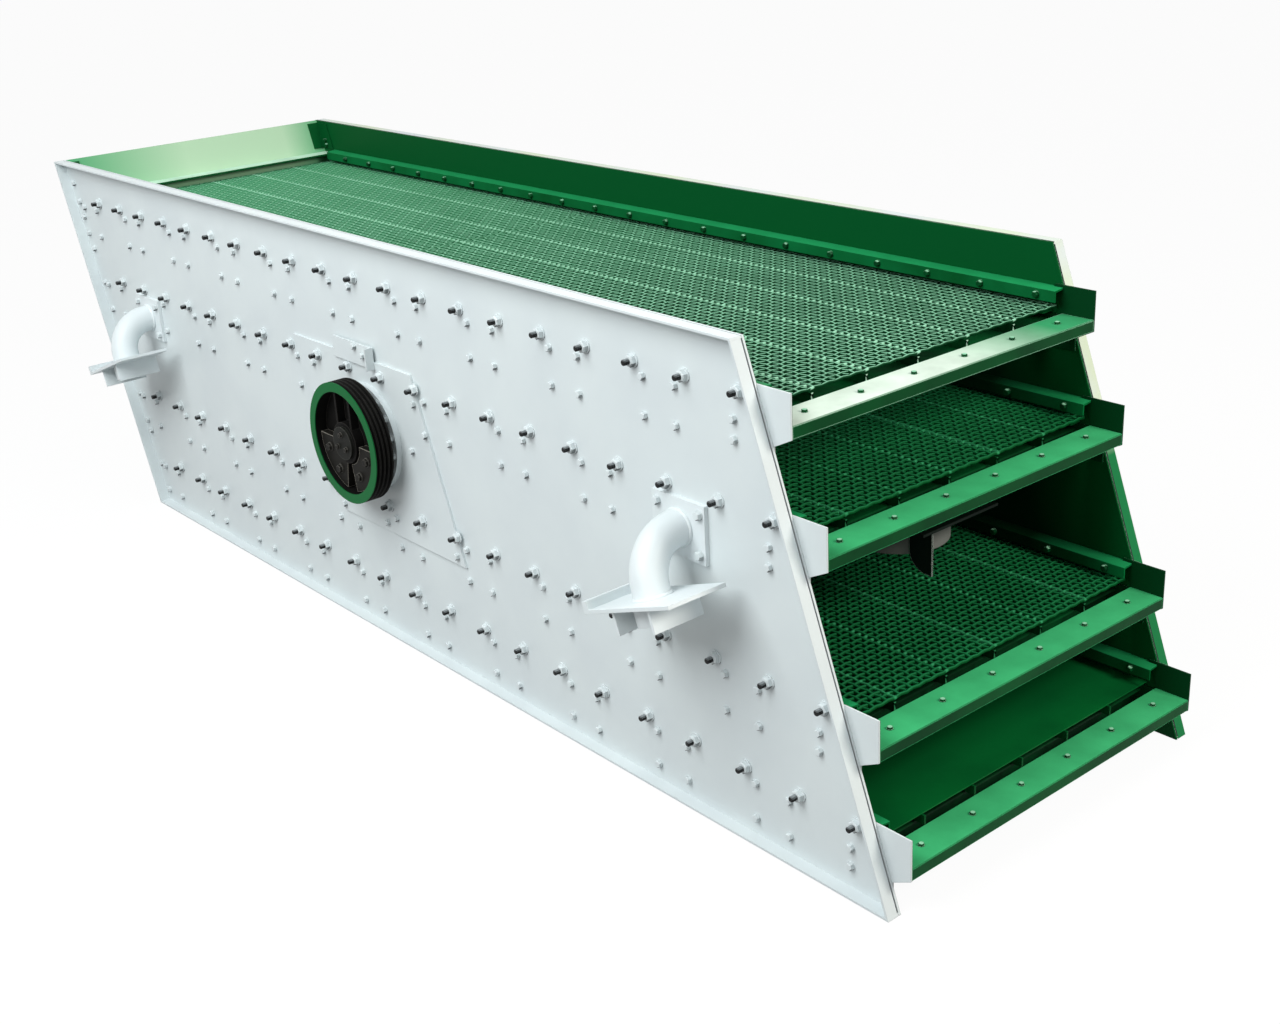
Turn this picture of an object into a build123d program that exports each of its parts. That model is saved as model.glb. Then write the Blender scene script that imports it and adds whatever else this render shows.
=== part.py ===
from build123d import *
import math
import os

# Inclined four-deck vibrating screen box, resting flat on the bottom edges of its side plates.
# +X runs from the feed end to the discharge end, -Y is the drive side and +Z is up.
# All sizes are in millimetres and all angles in degrees.

# Screen box
inner_width = 1800.0
plate_length = 6200.0
plate_height = 2100.0
plate_thickness = 10.0
end_slant = 20.0  # lean of the end edges, the same as the slope the box works at
edge_bar_reach = 60.0
edge_bar_thickness = 10.0
edge_bar_groove = 7.0

# Decks from the top down; a row is the line of clamp bolts that holds one deck
first_row_drop = 215.0
gap_one_to_two = 465.0
gap_two_to_three = 685.0
gap_three_to_pan = 435.0
deck_drop = 64.0  # from the bolt row down to the top of the screening surface
mesh_thickness = 6.0  # plain strips with the mass of the woven wire
mesh_strip = 95.0
mesh_side_strip = 90.0
mesh_end_strip = 90.0
mesh_bays = 7
pan_thickness = 6.0
mesh_seam = 6.0
feed_panel_share = 0.48  # of the deck, taken by the panel at the feed end
mesh_feed_margin = 60.0
mesh_discharge_margin = 50.0

# Clamp bolts along each row
first_bolt = 400.0
bolt_pitch = 300.0
last_bolt_margin = 100.0
nut_across_flats = 46.0
nut_height = 25.0

# Deck frame
angle_leg = 50.0
angle_discharge_margin = 60.0
angle_shelf = 70.0
angle_thickness = 8.0
shelf_thickness = 10.0
bar_height = 42.0
bar_thickness = 10.0
bar_spacing = 300.0
bar_count = 5
beam_width = 100.0
beam_height = 120.0
beam_web = 8.0
beam_flange = 10.0
beam_foot_length = 250.0
beam_foot_thickness = 12.0
feed_beam_offset = 250.0
discharge_beam_offset = 130.0
beam_foot_below = 10.0
bar_feed_margin = 40.0
bar_past_mesh = 15.0
mesh_side_gap = 2.0

# Clamp rails
rail_above_row = 32.0
rail_below_row = 24.0
rail_width = 65.0
rail_fall = 6.0  # from the plate to the front of the rail's top
rail_thickness = 8.0
rail_feed_margin = 150.0
rail_discharge_margin = 5.0
rail_notch_gap = 2.0

# Discharge lips and cheeks
lip_reach = 155.0
lip_drop = 82.0
lip_fold = 50.0
lip_thickness = 10.0
lip_back_margin = 35.0
cheek_thickness = 8.0
cheek_above_row = 42.0
cheek_tongue = 190.0
cheek_front_drop = 135.0
cheek_edge_drop = 180.0
cheek_bottom_drop = 235.0
cheek_tongue_drop = 90.0
cheek_bottom_margin = 20.0
lip_corner = 4.0

# Feed end
back_plate_setback = 12.0
back_plate_thickness = 8.0
back_plate_height = 180.0
back_plate_drop = 100.0
corner_angle_width = 130.0
corner_angle_thickness = 8.0
corner_angle_return = 70.0
corner_angle_gap = 4.0
corner_angle_top_margin = 15.0
hold_down_width = 110.0
hold_down_thickness = 10.0
hold_down_above_row = 10.0

# Exciter
exciter_from_feed = 3500.0  # along the top of the plate
exciter_lift = 12.5  # above the middle between the second and third rows
tube_radius = 203.0
tube_wall = 12.0
tube_flange_radius = 245.0
tube_flange_thickness = 20.0
pad_length = 1115.0
pad_thickness = 12.0
pad_above_row = 65.0
pad_below_row = 150.0
housing_flange_radius = 270.0
housing_flange_thickness = 30.0
housing_boss_radius = 205.0
housing_boss_length = 23.0
barrel_radius = 170.0
barrel_inside = 85.0
barrel_lip = 12.0
bearing_width = 100.0
bearing_outer_radius = 150.0
bearing_race_outer = 130.0
bearing_race_inner = 100.0
journal_radius = 75.0
roller_count = 12
roller_sides = 12  # many-sided to keep the hidden faces few
cage_width = 16.0
cage_end = 6.0
cage_gap = 2.0
cover_thickness = 12.0
cover_radius = 195.0
eccentric_radius = 95.0
eccentric_offset = 15.0
eccentric_end_gap = 30.0
collar_radius = 88.0
fit_clearance = 0.05
running_clearance = 0.3
seal_clearance = 0.5

# Pulley and flywheel
wheel_radius = 310.0
wheel_width = 100.0
wheel_gap = 8.0
rim_thickness = 48.0
web_thickness = 18.0
web_setback = 15.0
hub_radius = 105.0
hub_length = 85.0
shaft_end_radius = 60.0
groove_count = 4
groove_pitch = 24.0
groove_top = 17.0
groove_depth = 15.0
spoke_spacing = 125.0
spoke_overlap = 30.0
spoke_width = 14.0
spoke_depth = 45.0
weight_clearance = 8.0
weight_thickness = 40.0
weight_span = 80.0
weight_pitch = 100.0
end_plate_radius = 85.0
end_plate_thickness = 16.0

# Belt guard bracket
bracket_length = 370.0
bracket_height = 110.0
bracket_above_row = 30.0
bracket_thickness = 10.0
bracket_fold = 45.0
bracket_past_axis = 100.0

# Spring supports
support_from_end = 680.0
support_below_row = 165.0  # from the second row down to the middle of the base plate
support_base_length = 310.0
support_base_height = 250.0
support_base_thickness = 20.0
elbow_radius = 75.0
elbow_sides = 16
elbow_steps = 6
elbow_bend = 190.0
elbow_start = 20.0
elbow_end = 30.0
seat_length = 550.0
seat_depth = 290.0
seat_thickness = 16.0
seat_bar_width = 30.0
seat_bar_height = 36.0
skirt_spacing = 230.0
skirt_thickness = 14.0
skirt_height = 100.0
skirt_depth = 250.0
cup_radius = 90.0
cup_wall = 10.0
cup_height = 85.0

# Guard drum under the second deck
drum_radius = 220.0
drum_wall = 10.0
drum_below_beam = 160.0
drum_from_discharge = 306.0
drum_plate_thickness = 12.0
drum_plate_width = 460.0
baffle_length = 118.0
baffle_height = 210.0
baffle_thickness = 8.0
baffle_corner = 90.0
baffle_from_middle = 130.0
baffle_gap = 2.0

# Places worked out from the sizes above
slant = math.tan(math.radians(end_slant))
half_width = inner_width / 2
outer_face = half_width + plate_thickness
pad_face = outer_face + pad_thickness
row_one = plate_height - first_row_drop
row_two = row_one - gap_one_to_two
row_three = row_two - gap_two_to_three
row_four = row_three - gap_three_to_pan
overall_length = (plate_height - row_four) * slant + plate_length + lip_reach
feed_top_x = -overall_length / 2
exciter_x = feed_top_x + exciter_from_feed
exciter_z = (row_two + row_three) / 2 + exciter_lift
bolt_count = int((plate_length - first_bolt - last_bolt_margin) // bolt_pitch) + 1
beam_drop = deck_drop + mesh_thickness + bar_height
housing_face = pad_face + housing_flange_thickness + housing_boss_length
wheel_back = housing_face + cover_thickness + wheel_gap
wheel_front = wheel_back + wheel_width
hub_front = wheel_back + hub_length
barrel_end = half_width - barrel_inside
bearing_start = barrel_end + barrel_lip
bearing_end = bearing_start + bearing_width


def feed_edge(z):
    return feed_top_x + (plate_height - z) * slant


def discharge_edge(z):
    return feed_edge(z) + plate_length


def block(x0, x1, y0, y1, z0, z1):
    middle = Pos((x0 + x1) / 2, (y0 + y1) / 2, (z0 + z1) / 2)
    return middle * Box(x1 - x0, y1 - y0, z1 - z0)


def side_outline(points, y0, y1):
    """Closed outline of (x, z) points, given depth from y0 to y1."""
    face = make_face(Plane.XZ.offset(-y1) * Polyline(*points, close=True))
    return extrude(face, amount=y1 - y0, dir=(0, -1, 0))


def end_outline(points, x0, x1):
    """Closed outline of (y, z) points, given length from x0 to x1."""
    face = make_face(Plane.YZ.offset(x0) * Polyline(*points, close=True))
    return extrude(face, amount=x1 - x0, dir=(1, 0, 0))


def leaning(start, end, low, high, y0, y1):
    """Slab whose two ends lean like the end edges, measured from the feed edge."""
    points = [
        (feed_edge(low) + start, low),
        (feed_edge(low) + end, low),
        (feed_edge(high) + end, high),
        (feed_edge(high) + start, high),
    ]
    return side_outline(points, y0, y1)


def round_y(radius, y0, y1, x, z):
    return Pos(x, (y0 + y1) / 2, z) * Rot(90, 0, 0) * Cylinder(radius, y1 - y0)


def turned(points, side):
    """Solid of revolution about the exciter axis from (radius, distance from the middle) points."""
    outline = [(radius, side * distance) for radius, distance in points]
    face = make_face(Polyline(*outline, close=True))
    return Pos(exciter_x, 0, exciter_z) * revolve(face, axis=Axis.Y)


def other_side(shape):
    return mirror(shape, about=Plane.XZ)


def save(name, *shapes):
    solids = [solid for shape in shapes for solid in shape.solids()]
    whole = solids[0] if len(solids) == 1 else Compound(solids)
    export_step(whole, f"parts/{name}.step")


# Side plates and the bars that stand out along their edges
def side_plate():
    plate = leaning(0, plate_length, 0, plate_height, -outer_face, -half_width)
    hole = round_y(barrel_radius + seal_clearance, -outer_face - 1, -half_width + 1, exciter_x, exciter_z)
    return plate - hole


def grooved(bar, x, z):
    """Bar with its outer corner next to the plate cut away, as on a rolled edge."""
    edge = bar.edges().sort_by_distance((x, -outer_face, z))[0]
    return chamfer(edge, edge_bar_groove)


def edge_bars():
    back = -outer_face - edge_bar_reach
    front = -outer_face
    across = edge_bar_thickness / math.cos(math.radians(end_slant))
    low = edge_bar_thickness
    high = plate_height - edge_bar_thickness
    middle = plate_height / 2
    bottom = leaning(0, plate_length, 0, low, back, front)
    top = leaning(0, plate_length, high, plate_height, back, front)
    feed = leaning(0, across, low, high, back, front)
    discharge = leaning(plate_length - across, plate_length, low, high, back, front)
    return [
        grooved(bottom, feed_edge(0) + plate_length / 2, 0),
        grooved(top, feed_edge(plate_height) + plate_length / 2, plate_height),
        grooved(feed, feed_edge(middle), middle),
        grooved(discharge, discharge_edge(middle), middle),
    ]


# Reinforcing plate round the exciter
pad_top = row_two + pad_above_row
pad_bottom = row_three - pad_below_row


def pad_start(z):
    return exciter_x - pad_length / 2 + (exciter_z - z) * slant


def reinforcing_plate():
    points = [
        (pad_start(pad_bottom), pad_bottom),
        (pad_start(pad_bottom) + pad_length, pad_bottom),
        (pad_start(pad_top) + pad_length, pad_top),
        (pad_start(pad_top), pad_top),
    ]
    plate = side_outline(points, -pad_face, -outer_face)
    hole = round_y(barrel_radius + seal_clearance, -pad_face - 1, -outer_face + 1, exciter_x, exciter_z)
    return plate - hole


# Exciter tube, housings and bearings
def exciter_tube():
    tube = round_y(tube_radius, -half_width, half_width, exciter_x, exciter_z)
    for side in (-1, 1):
        y0, y1 = sorted((side * half_width, side * (half_width - tube_flange_thickness)))
        tube += round_y(tube_flange_radius, y0, y1, exciter_x, exciter_z)
    return tube - round_y(tube_radius - tube_wall, -half_width - 1, half_width + 1, exciter_x, exciter_z)


def bearing_housing(side):
    lip_radius = bearing_outer_radius - barrel_lip
    points = [
        (lip_radius, barrel_end),
        (barrel_radius, barrel_end),
        (barrel_radius, pad_face),
        (housing_flange_radius, pad_face),
        (housing_flange_radius, pad_face + housing_flange_thickness),
        (housing_boss_radius, pad_face + housing_flange_thickness),
        (housing_boss_radius, housing_face),
        (bearing_outer_radius, housing_face),
        (bearing_outer_radius, bearing_start),
        (lip_radius, bearing_start),
    ]
    return turned(points, side)


def plain_ring(inner, outer, start, end, side):
    return turned([(inner, start), (outer, start), (outer, end), (inner, end)], side)


def bearing_outer_ring(side):
    outside = bearing_outer_radius - fit_clearance
    return plain_ring(bearing_race_outer, outside, bearing_start, bearing_end, side)


def bearing_cover(side):
    bore = journal_radius + seal_clearance
    return plain_ring(bore, cover_radius, housing_face, housing_face + cover_thickness, side)


def bearing_inner_ring(side):
    return plain_ring(journal_radius + fit_clearance, bearing_race_inner, bearing_start, bearing_end, side)


roller_radius = (bearing_race_outer - bearing_race_inner) / 2 - running_clearance
roller_pitch_radius = (bearing_race_outer + bearing_race_inner) / 2


def many_sided(outline, y0, y1, x, z):
    """Outline drawn round the origin, given depth from y0 to y1 about an axis along Y."""
    return Pos(x, y1, z) * Rot(90, 0, 0) * extrude(outline, amount=y1 - y0)


def bearing_rollers(side):
    """Rollers joined by a flat-sided cage ring at each end."""
    first = bearing_start + cage_gap
    last = bearing_end - cage_gap
    ring = RegularPolygon(roller_pitch_radius + cage_width / 2, roller_count)
    ring -= RegularPolygon(roller_pitch_radius - cage_width / 2, roller_count)
    roller = RegularPolygon(roller_radius, roller_sides)
    y0, y1 = sorted((side * (first + cage_end), side * (last - cage_end)))
    cage = many_sided(ring, y0 - cage_end, y0, exciter_x, exciter_z)
    cage += many_sided(ring, y1, y1 + cage_end, exciter_x, exciter_z)
    for index in range(roller_count):
        turn = 2 * math.pi * index / roller_count
        x = exciter_x + roller_pitch_radius * math.cos(turn)
        z = exciter_z + roller_pitch_radius * math.sin(turn)
        cage += many_sided(roller, y0, y1, x, z)
    return cage


# Eccentric shaft with its heavy middle hanging down at rest
def eccentric_shaft():
    eccentric_end = barrel_end - eccentric_end_gap
    shaft = round_y(eccentric_radius, -eccentric_end, eccentric_end, exciter_x, exciter_z - eccentric_offset)
    for side in (-1, 1):
        points = [
            (0, eccentric_end - eccentric_end_gap),
            (collar_radius, eccentric_end - eccentric_end_gap),
            (collar_radius, bearing_start),
            (journal_radius, bearing_start),
            (journal_radius, wheel_back),
            (shaft_end_radius - fit_clearance, wheel_back),
            (shaft_end_radius - fit_clearance, hub_front),
            (0, hub_front),
        ]
        shaft += turned(points, side)
    return shaft


# Belt pulley, flywheel and their bolted weights
def wheel(side, grooves):
    rim_inner = wheel_radius - rim_thickness
    web_back = wheel_back + web_setback
    web_front = web_back + web_thickness
    points = [
        (shaft_end_radius, wheel_back),
        (hub_radius, wheel_back),
        (hub_radius, web_back),
        (rim_inner, web_back),
        (rim_inner, wheel_back),
        (wheel_radius, wheel_back),
    ]
    middle = wheel_back + wheel_width / 2
    for index in range(grooves):
        at = middle + (index - (grooves - 1) / 2) * groove_pitch
        points += [
            (wheel_radius, at - groove_top / 2),
            (wheel_radius - groove_depth, at),
            (wheel_radius, at + groove_top / 2),
        ]
    points += [
        (wheel_radius, wheel_front),
        (rim_inner, wheel_front),
        (rim_inner, web_front),
        (hub_radius, web_front),
        (hub_radius, hub_front),
        (shaft_end_radius, hub_front),
    ]
    body = turned(points, side)
    y0, y1 = sorted((side * web_front, side * (web_front + spoke_depth)))
    for lean in (-1, 1):
        x = exciter_x + lean * spoke_spacing / 2
        top = exciter_z + rim_inner
        low = exciter_z + hub_radius - spoke_overlap
        body += block(x - spoke_width / 2, x + spoke_width / 2, y0, y1, low, top)
    return body


def counterweights(side):
    """Two bolted sectors filling most of the lower half of a wheel."""
    web_front = wheel_back + web_setback + web_thickness
    outer = wheel_radius - rim_thickness - weight_clearance
    inner = hub_radius + weight_clearance
    ring = plain_ring(inner, outer, web_front, web_front + weight_thickness, side)
    y0, y1 = sorted((side * (web_front - 1), side * (web_front + weight_thickness + 1)))
    sectors = []
    for lean in (-0.5, 0.5):
        middle = 270 + lean * weight_pitch
        corners = [(exciter_x, exciter_z)]
        for edge in (-0.5, 0.5):
            turn = math.radians(middle + edge * weight_span)
            x = exciter_x + 2 * outer * math.cos(turn)
            corners.append((x, exciter_z + 2 * outer * math.sin(turn)))
        sectors.append(ring & side_outline(corners, y0, y1))
    return sectors


def shaft_end_plate(side):
    y0, y1 = sorted((side * hub_front, side * (hub_front + end_plate_thickness)))
    return round_y(end_plate_radius, y0, y1, exciter_x, exciter_z)


# Bracket that carries the belt guard
def belt_guard_bracket():
    x1 = exciter_x + bracket_past_axis
    x0 = x1 - bracket_length
    z0 = row_two + bracket_above_row
    z1 = z0 + bracket_height
    back = block(x0, x1, -pad_face - bracket_thickness, -pad_face, z0, z1)
    fold = block(x1 - bracket_thickness, x1, -pad_face - bracket_fold, -pad_face, z0, z1)
    return back + fold


# Cross beams under each deck
def i_beam(x, y0, y1, top):
    half = beam_width / 2
    web = beam_web / 2
    bottom = top - beam_height
    points = [
        (x - half, bottom),
        (x + half, bottom),
        (x + half, bottom + beam_flange),
        (x + web, bottom + beam_flange),
        (x + web, top - beam_flange),
        (x + half, top - beam_flange),
        (x + half, top),
        (x - half, top),
        (x - half, top - beam_flange),
        (x - web, top - beam_flange),
        (x - web, bottom + beam_flange),
        (x - half, bottom + beam_flange),
    ]
    return side_outline(points, y0, y1)


def footed_beam(x, row, surface):
    """Beam and its two bolted foot plates, the feet reaching up to the side angles."""
    foot_top = row - deck_drop - surface - shelf_thickness
    foot_bottom = row - beam_drop - beam_height - beam_foot_below
    reach = half_width - beam_foot_thickness
    pieces = [i_beam(x, -reach, reach, row - beam_drop)]
    half = beam_foot_length / 2
    for side in (-1, 1):
        y0, y1 = sorted((side * reach, side * half_width))
        pieces.append(block(x - half, x + half, y0, y1, foot_bottom, foot_top))
    return pieces


def meets_tube(x, row):
    beside = abs(x - exciter_x) < tube_flange_radius + beam_foot_length / 2
    top = row - beam_drop
    return beside and top > exciter_z - tube_radius and top - beam_height < exciter_z + tube_radius


def cross_beams(row, surface):
    beams = footed_beam(feed_edge(row) + feed_beam_offset, row, surface)
    for index in range((bolt_count - 2) // 2):
        x = feed_edge(row) + first_bolt + (2 * index + 1.5) * bolt_pitch
        if not meets_tube(x, row):
            beams += footed_beam(x, row, surface)
    reach = half_width - cheek_thickness
    beams.append(i_beam(discharge_edge(row) - discharge_beam_offset, -reach, reach, row - beam_drop))
    return beams


# Deck angles, support bars, screening surfaces and clamp rails
def side_angle(row, surface):
    shelf = row - deck_drop - surface
    low = shelf - shelf_thickness
    wall = -half_width
    points = [
        (wall, low),
        (wall + angle_shelf, low),
        (wall + angle_shelf, shelf),
        (wall + angle_thickness, shelf),
        (wall + angle_thickness, low + angle_leg),
        (wall, low + angle_leg),
    ]
    x1 = discharge_edge(row) - angle_discharge_margin
    return end_outline(points, feed_edge(row) + rail_feed_margin, x1)


def bar_line(index):
    return (index - (bar_count - 1) / 2) * bar_spacing


def support_bars(row, surface):
    x0 = feed_edge(row) + mesh_feed_margin + bar_feed_margin
    x1 = discharge_edge(row) - mesh_discharge_margin + bar_past_mesh
    top = row - deck_drop - surface
    bars = []
    for index in range(bar_count):
        y = bar_line(index)
        bars.append(block(x0, x1, y - bar_thickness / 2, y + bar_thickness / 2, row - beam_drop, top))
    return bars


def surface_reach():
    return half_width - angle_thickness - mesh_side_gap


def mesh_panel(x0, x1, top):
    """Sheet with a plain grid of openings, its long strips lying on the support bars."""
    reach = surface_reach()
    sheet = Pos((x0 + x1) / 2, 0) * Rectangle(x1 - x0, 2 * reach)
    pitch = (x1 - x0 - 2 * mesh_end_strip + mesh_strip) / mesh_bays
    lines = [bar_line(index) for index in range(bar_count)]
    starts = [-reach + mesh_side_strip] + [line + mesh_strip / 2 for line in lines]
    ends = [line - mesh_strip / 2 for line in lines] + [reach - mesh_side_strip]
    for bay in range(mesh_bays):
        x = x0 + mesh_end_strip + bay * pitch + (pitch - mesh_strip) / 2
        for start, end in zip(starts, ends):
            sheet -= Pos(x, (start + end) / 2) * Rectangle(pitch - mesh_strip, end - start)
    return extrude(Pos(0, 0, top - mesh_thickness) * sheet, amount=mesh_thickness, dir=(0, 0, 1))


def mesh_panels(row):
    top = row - deck_drop
    x0 = feed_edge(top) + mesh_feed_margin
    x1 = discharge_edge(row) - mesh_discharge_margin
    seam = x0 + feed_panel_share * (x1 - x0)
    return [mesh_panel(x0, seam - mesh_seam / 2, top), mesh_panel(seam + mesh_seam / 2, x1, top)]


def bottom_pan():
    x0 = feed_edge(row_four - deck_drop) + mesh_feed_margin
    x1 = discharge_edge(row_four) - mesh_discharge_margin
    top = row_four - deck_drop
    return block(x0, x1, -surface_reach(), surface_reach(), top - pan_thickness, top)


def clamp_rail(row):
    """Angle standing off the plate, notched at its discharge end to clear the cheek."""
    wall = -half_width
    front = wall + rail_width
    top = row + rail_above_row
    corner = top - rail_fall
    low = row - rail_below_row
    points = [
        (wall, top),
        (wall, top - rail_thickness),
        (front - rail_thickness, corner - rail_thickness),
        (front - rail_thickness, low),
        (front, low),
        (front, corner),
    ]
    end = discharge_edge(row) - rail_discharge_margin
    rail = end_outline(points, feed_edge(row) + rail_feed_margin, end)
    notch_start = discharge_edge(row + cheek_above_row) - lip_back_margin - rail_notch_gap
    notch_edge = wall + cheek_thickness + rail_notch_gap
    return rail - block(notch_start, end + 1, wall - 1, notch_edge, low - 1, top + 1)


# Discharge lips and the cheeks that carry them
def discharge_lip(row):
    top = row - lip_drop
    back = discharge_edge(top) - lip_back_margin
    front = discharge_edge(row) + lip_reach
    reach = half_width - cheek_thickness
    points = [
        (back, top),
        (back, top - lip_thickness),
        (front - lip_thickness, top - lip_thickness),
        (front - lip_thickness, top - lip_fold),
        (front, top - lip_fold),
        (front, top - lip_corner),
        (front - lip_corner, top),
    ]
    return side_outline(points, -reach, reach)


def cheek(row):
    high = row + cheek_above_row
    low = row - cheek_bottom_drop
    shoulder = row - cheek_tongue_drop
    front = discharge_edge(row) + lip_reach
    tongue = discharge_edge(row) - cheek_tongue
    points = [
        (discharge_edge(high) - lip_back_margin, high),
        (front, high),
        (front, row - cheek_front_drop),
        (discharge_edge(row - cheek_edge_drop), row - cheek_edge_drop),
        (discharge_edge(low) - cheek_bottom_margin, low),
        (tongue, low),
        (tongue, shoulder),
        (discharge_edge(shoulder) - lip_back_margin, shoulder),
    ]
    return side_outline(points, -half_width, -half_width + cheek_thickness)


# Feed end plates, corner angles and hold-down strips
def back_plate(row, top):
    start = back_plate_setback
    return leaning(start, start + back_plate_thickness, row - back_plate_drop, top, -half_width, half_width)


def corner_angle():
    low = row_one + rail_above_row + corner_angle_gap
    high = plate_height - corner_angle_top_margin
    start = back_plate_setback + back_plate_thickness
    inner = -half_width + corner_angle_thickness
    wall_leg = leaning(start, start + corner_angle_width, low, high, -half_width, inner)
    end_leg = leaning(start, start + corner_angle_thickness, low, high, inner, inner + corner_angle_return)
    return wall_leg + end_leg


def hold_down(row):
    """Strip along the feed plate at the height of the clamp rails."""
    start = back_plate_setback + back_plate_thickness
    top = row + hold_down_above_row
    low = top - hold_down_thickness
    return leaning(start, start + hold_down_width, low, top, -half_width, half_width)


# Clamp nuts along the outside of the plates
def near_pad(x, z):
    inside_height = pad_bottom - nut_across_flats < z < pad_top + nut_across_flats
    beyond_start = x - pad_start(z) + nut_across_flats
    return inside_height and 0 < beyond_start < pad_length + 2 * nut_across_flats


def clamp_nuts():
    outline = Rot(90, 0, 0) * RegularPolygon(nut_across_flats / math.sqrt(3), 6)
    nut = extrude(outline, amount=nut_height, dir=(0, -1, 0))
    nuts = []
    for row in (row_one, row_two, row_three, row_four):
        for index in range(bolt_count):
            x = feed_edge(row) + first_bolt + index * bolt_pitch
            face = pad_face if near_pad(x, row) else outer_face
            nuts.append(Pos(x, -face, row) * nut)
    return nuts


# Spring supports: base plate, bent tube, sloping seat with skirts and a spring cup
def bent_tube():
    """Many-sided bend that leaves along -Y and turns down, its start at the origin."""
    outline = RegularPolygon(elbow_radius, elbow_sides)
    sections = [Plane((0, 0, 0), x_dir=(1, 0, 0), z_dir=(0, -1, 0)) * outline]
    for step in range(elbow_steps + 1):
        turn = math.pi / 2 * step / elbow_steps
        y = -elbow_start - elbow_bend * math.sin(turn)
        z = -elbow_bend + elbow_bend * math.cos(turn)
        ahead = (0, -math.cos(turn), -math.sin(turn))
        sections.append(Plane((0, y, z), x_dir=(1, 0, 0), z_dir=ahead) * outline)
    low = -elbow_bend - elbow_end
    end = Plane((0, -elbow_start - elbow_bend, low), x_dir=(1, 0, 0), z_dir=(0, 0, -1))
    return loft(sections + [end * outline], ruled=True)


def seat_weldment():
    y = -elbow_start - elbow_bend
    top = -elbow_bend - elbow_end
    low = top - seat_thickness
    half = seat_length / 2
    depth = seat_depth / 2
    seat = block(-half, half, y - depth, y + depth, low, top)
    seat += block(-half, -half + seat_bar_width, y - depth, y + depth, top, top + seat_bar_height)
    for side in (-1, 1):
        at = side * skirt_spacing / 2
        edge = skirt_thickness / 2
        depth = skirt_depth / 2
        seat += block(at - edge, at + edge, y - depth, y + depth, low - skirt_height, low)
    return seat


def support_place(from_feed):
    """Where the bent tube leaves its base plate, turned to the working slope."""
    z = row_two - support_below_row
    x = feed_edge(z) + from_feed
    return Pos(x, -outer_face - support_base_thickness, z) * Rot(0, -end_slant, 0)


def spring_support(from_feed):
    z = row_two - support_below_row
    x = feed_edge(z) + from_feed
    half = support_base_length / 2
    tall = support_base_height / 2
    face = -outer_face - support_base_thickness
    base = block(x - half, x + half, face, -outer_face, z - tall, z + tall)
    return base + support_place(from_feed) * (bent_tube() + seat_weldment())


def spring_cup(from_feed):
    """Short sleeve under the seat that takes the top of a spring."""
    low = -elbow_bend - elbow_end - seat_thickness
    middle = Pos(0, -elbow_start - elbow_bend, low - cup_height / 2)
    cup = Cylinder(cup_radius, cup_height) - Cylinder(cup_radius - cup_wall, cup_height)
    return support_place(from_feed) * middle * cup


# Round guard and baffle hung under the discharge end of the second deck
def guard_drum():
    top = row_two - beam_drop - beam_height
    low = top - drum_below_beam
    x = discharge_edge(row_two) - drum_from_discharge
    plate_start = feed_edge(row_two) + first_bolt + (bolt_count - 2.5) * bolt_pitch - beam_width / 2
    plate_end = x + drum_radius + baffle_length
    half = drum_plate_width / 2
    plate = block(plate_start, plate_end, -half, half, top - drum_plate_thickness, top)
    tall = top - drum_plate_thickness - low
    drum = Pos(x, 0, low + tall / 2) * Cylinder(drum_radius, tall)
    drum -= Pos(x, 0, low + (tall - drum_wall) / 2) * Cylinder(drum_radius - drum_wall, tall - drum_wall)
    return plate + drum


def guard_baffle():
    top = row_two - beam_drop - beam_height - drum_plate_thickness
    low = top - baffle_height
    beside = math.sqrt(drum_radius**2 - (baffle_from_middle - baffle_thickness / 2) ** 2)
    x0 = discharge_edge(row_two) - drum_from_discharge + beside + baffle_gap
    x1 = x0 + baffle_length
    y = -baffle_from_middle
    plate = block(x0, x1, y - baffle_thickness / 2, y + baffle_thickness / 2, low, top)
    corner = plate.edges().filter_by(Axis.Y).sort_by_distance((x0, y, low))[0]
    return fillet(corner, baffle_corner)


os.makedirs("parts", exist_ok=True)

rows = (row_one, row_two, row_three, row_four)
surfaces = (mesh_thickness, mesh_thickness, mesh_thickness, pan_thickness)
deck_names = ("deck1", "deck2", "deck3", "pan")

plate = side_plate()
bars = edge_bars()
pad = reinforcing_plate()
save("drive_side_plate", plate)
save("far_side_plate", other_side(plate))
save("drive_edge_bars", *bars)
save("far_edge_bars", *[other_side(bar) for bar in bars])
save("drive_reinforcing_plate", pad)
save("far_reinforcing_plate", other_side(pad))

save("exciter_tube", exciter_tube())
save("eccentric_shaft", eccentric_shaft())
for name, side in (("drive", -1), ("far", 1)):
    save(f"{name}_bearing_housing", bearing_housing(side))
    save(f"{name}_bearing_cover", bearing_cover(side))
    save(f"{name}_bearing_outer_ring", bearing_outer_ring(side))
    save(f"{name}_bearing_rollers", bearing_rollers(side))
    save(f"{name}_bearing_inner_ring", bearing_inner_ring(side))
save("drive_pulley", wheel(-1, groove_count))
save("pulley_weights", *counterweights(-1))
save("pulley_end_plate", shaft_end_plate(-1))
save("far_flywheel", wheel(1, 0))
save("flywheel_weights", *counterweights(1))
save("flywheel_end_plate", shaft_end_plate(1))
save("belt_guard_bracket", belt_guard_bracket())

for name, row, surface in zip(deck_names, rows, surfaces):
    save(f"{name}_cross_beams", *cross_beams(row, surface))
    save(f"{name}_support_bars", *support_bars(row, surface))
    save(f"{name}_discharge_lip", discharge_lip(row))
for name, row in zip(deck_names[:3], rows):
    save(f"{name}_mesh", *mesh_panels(row))
save("bottom_pan", bottom_pan())

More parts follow.
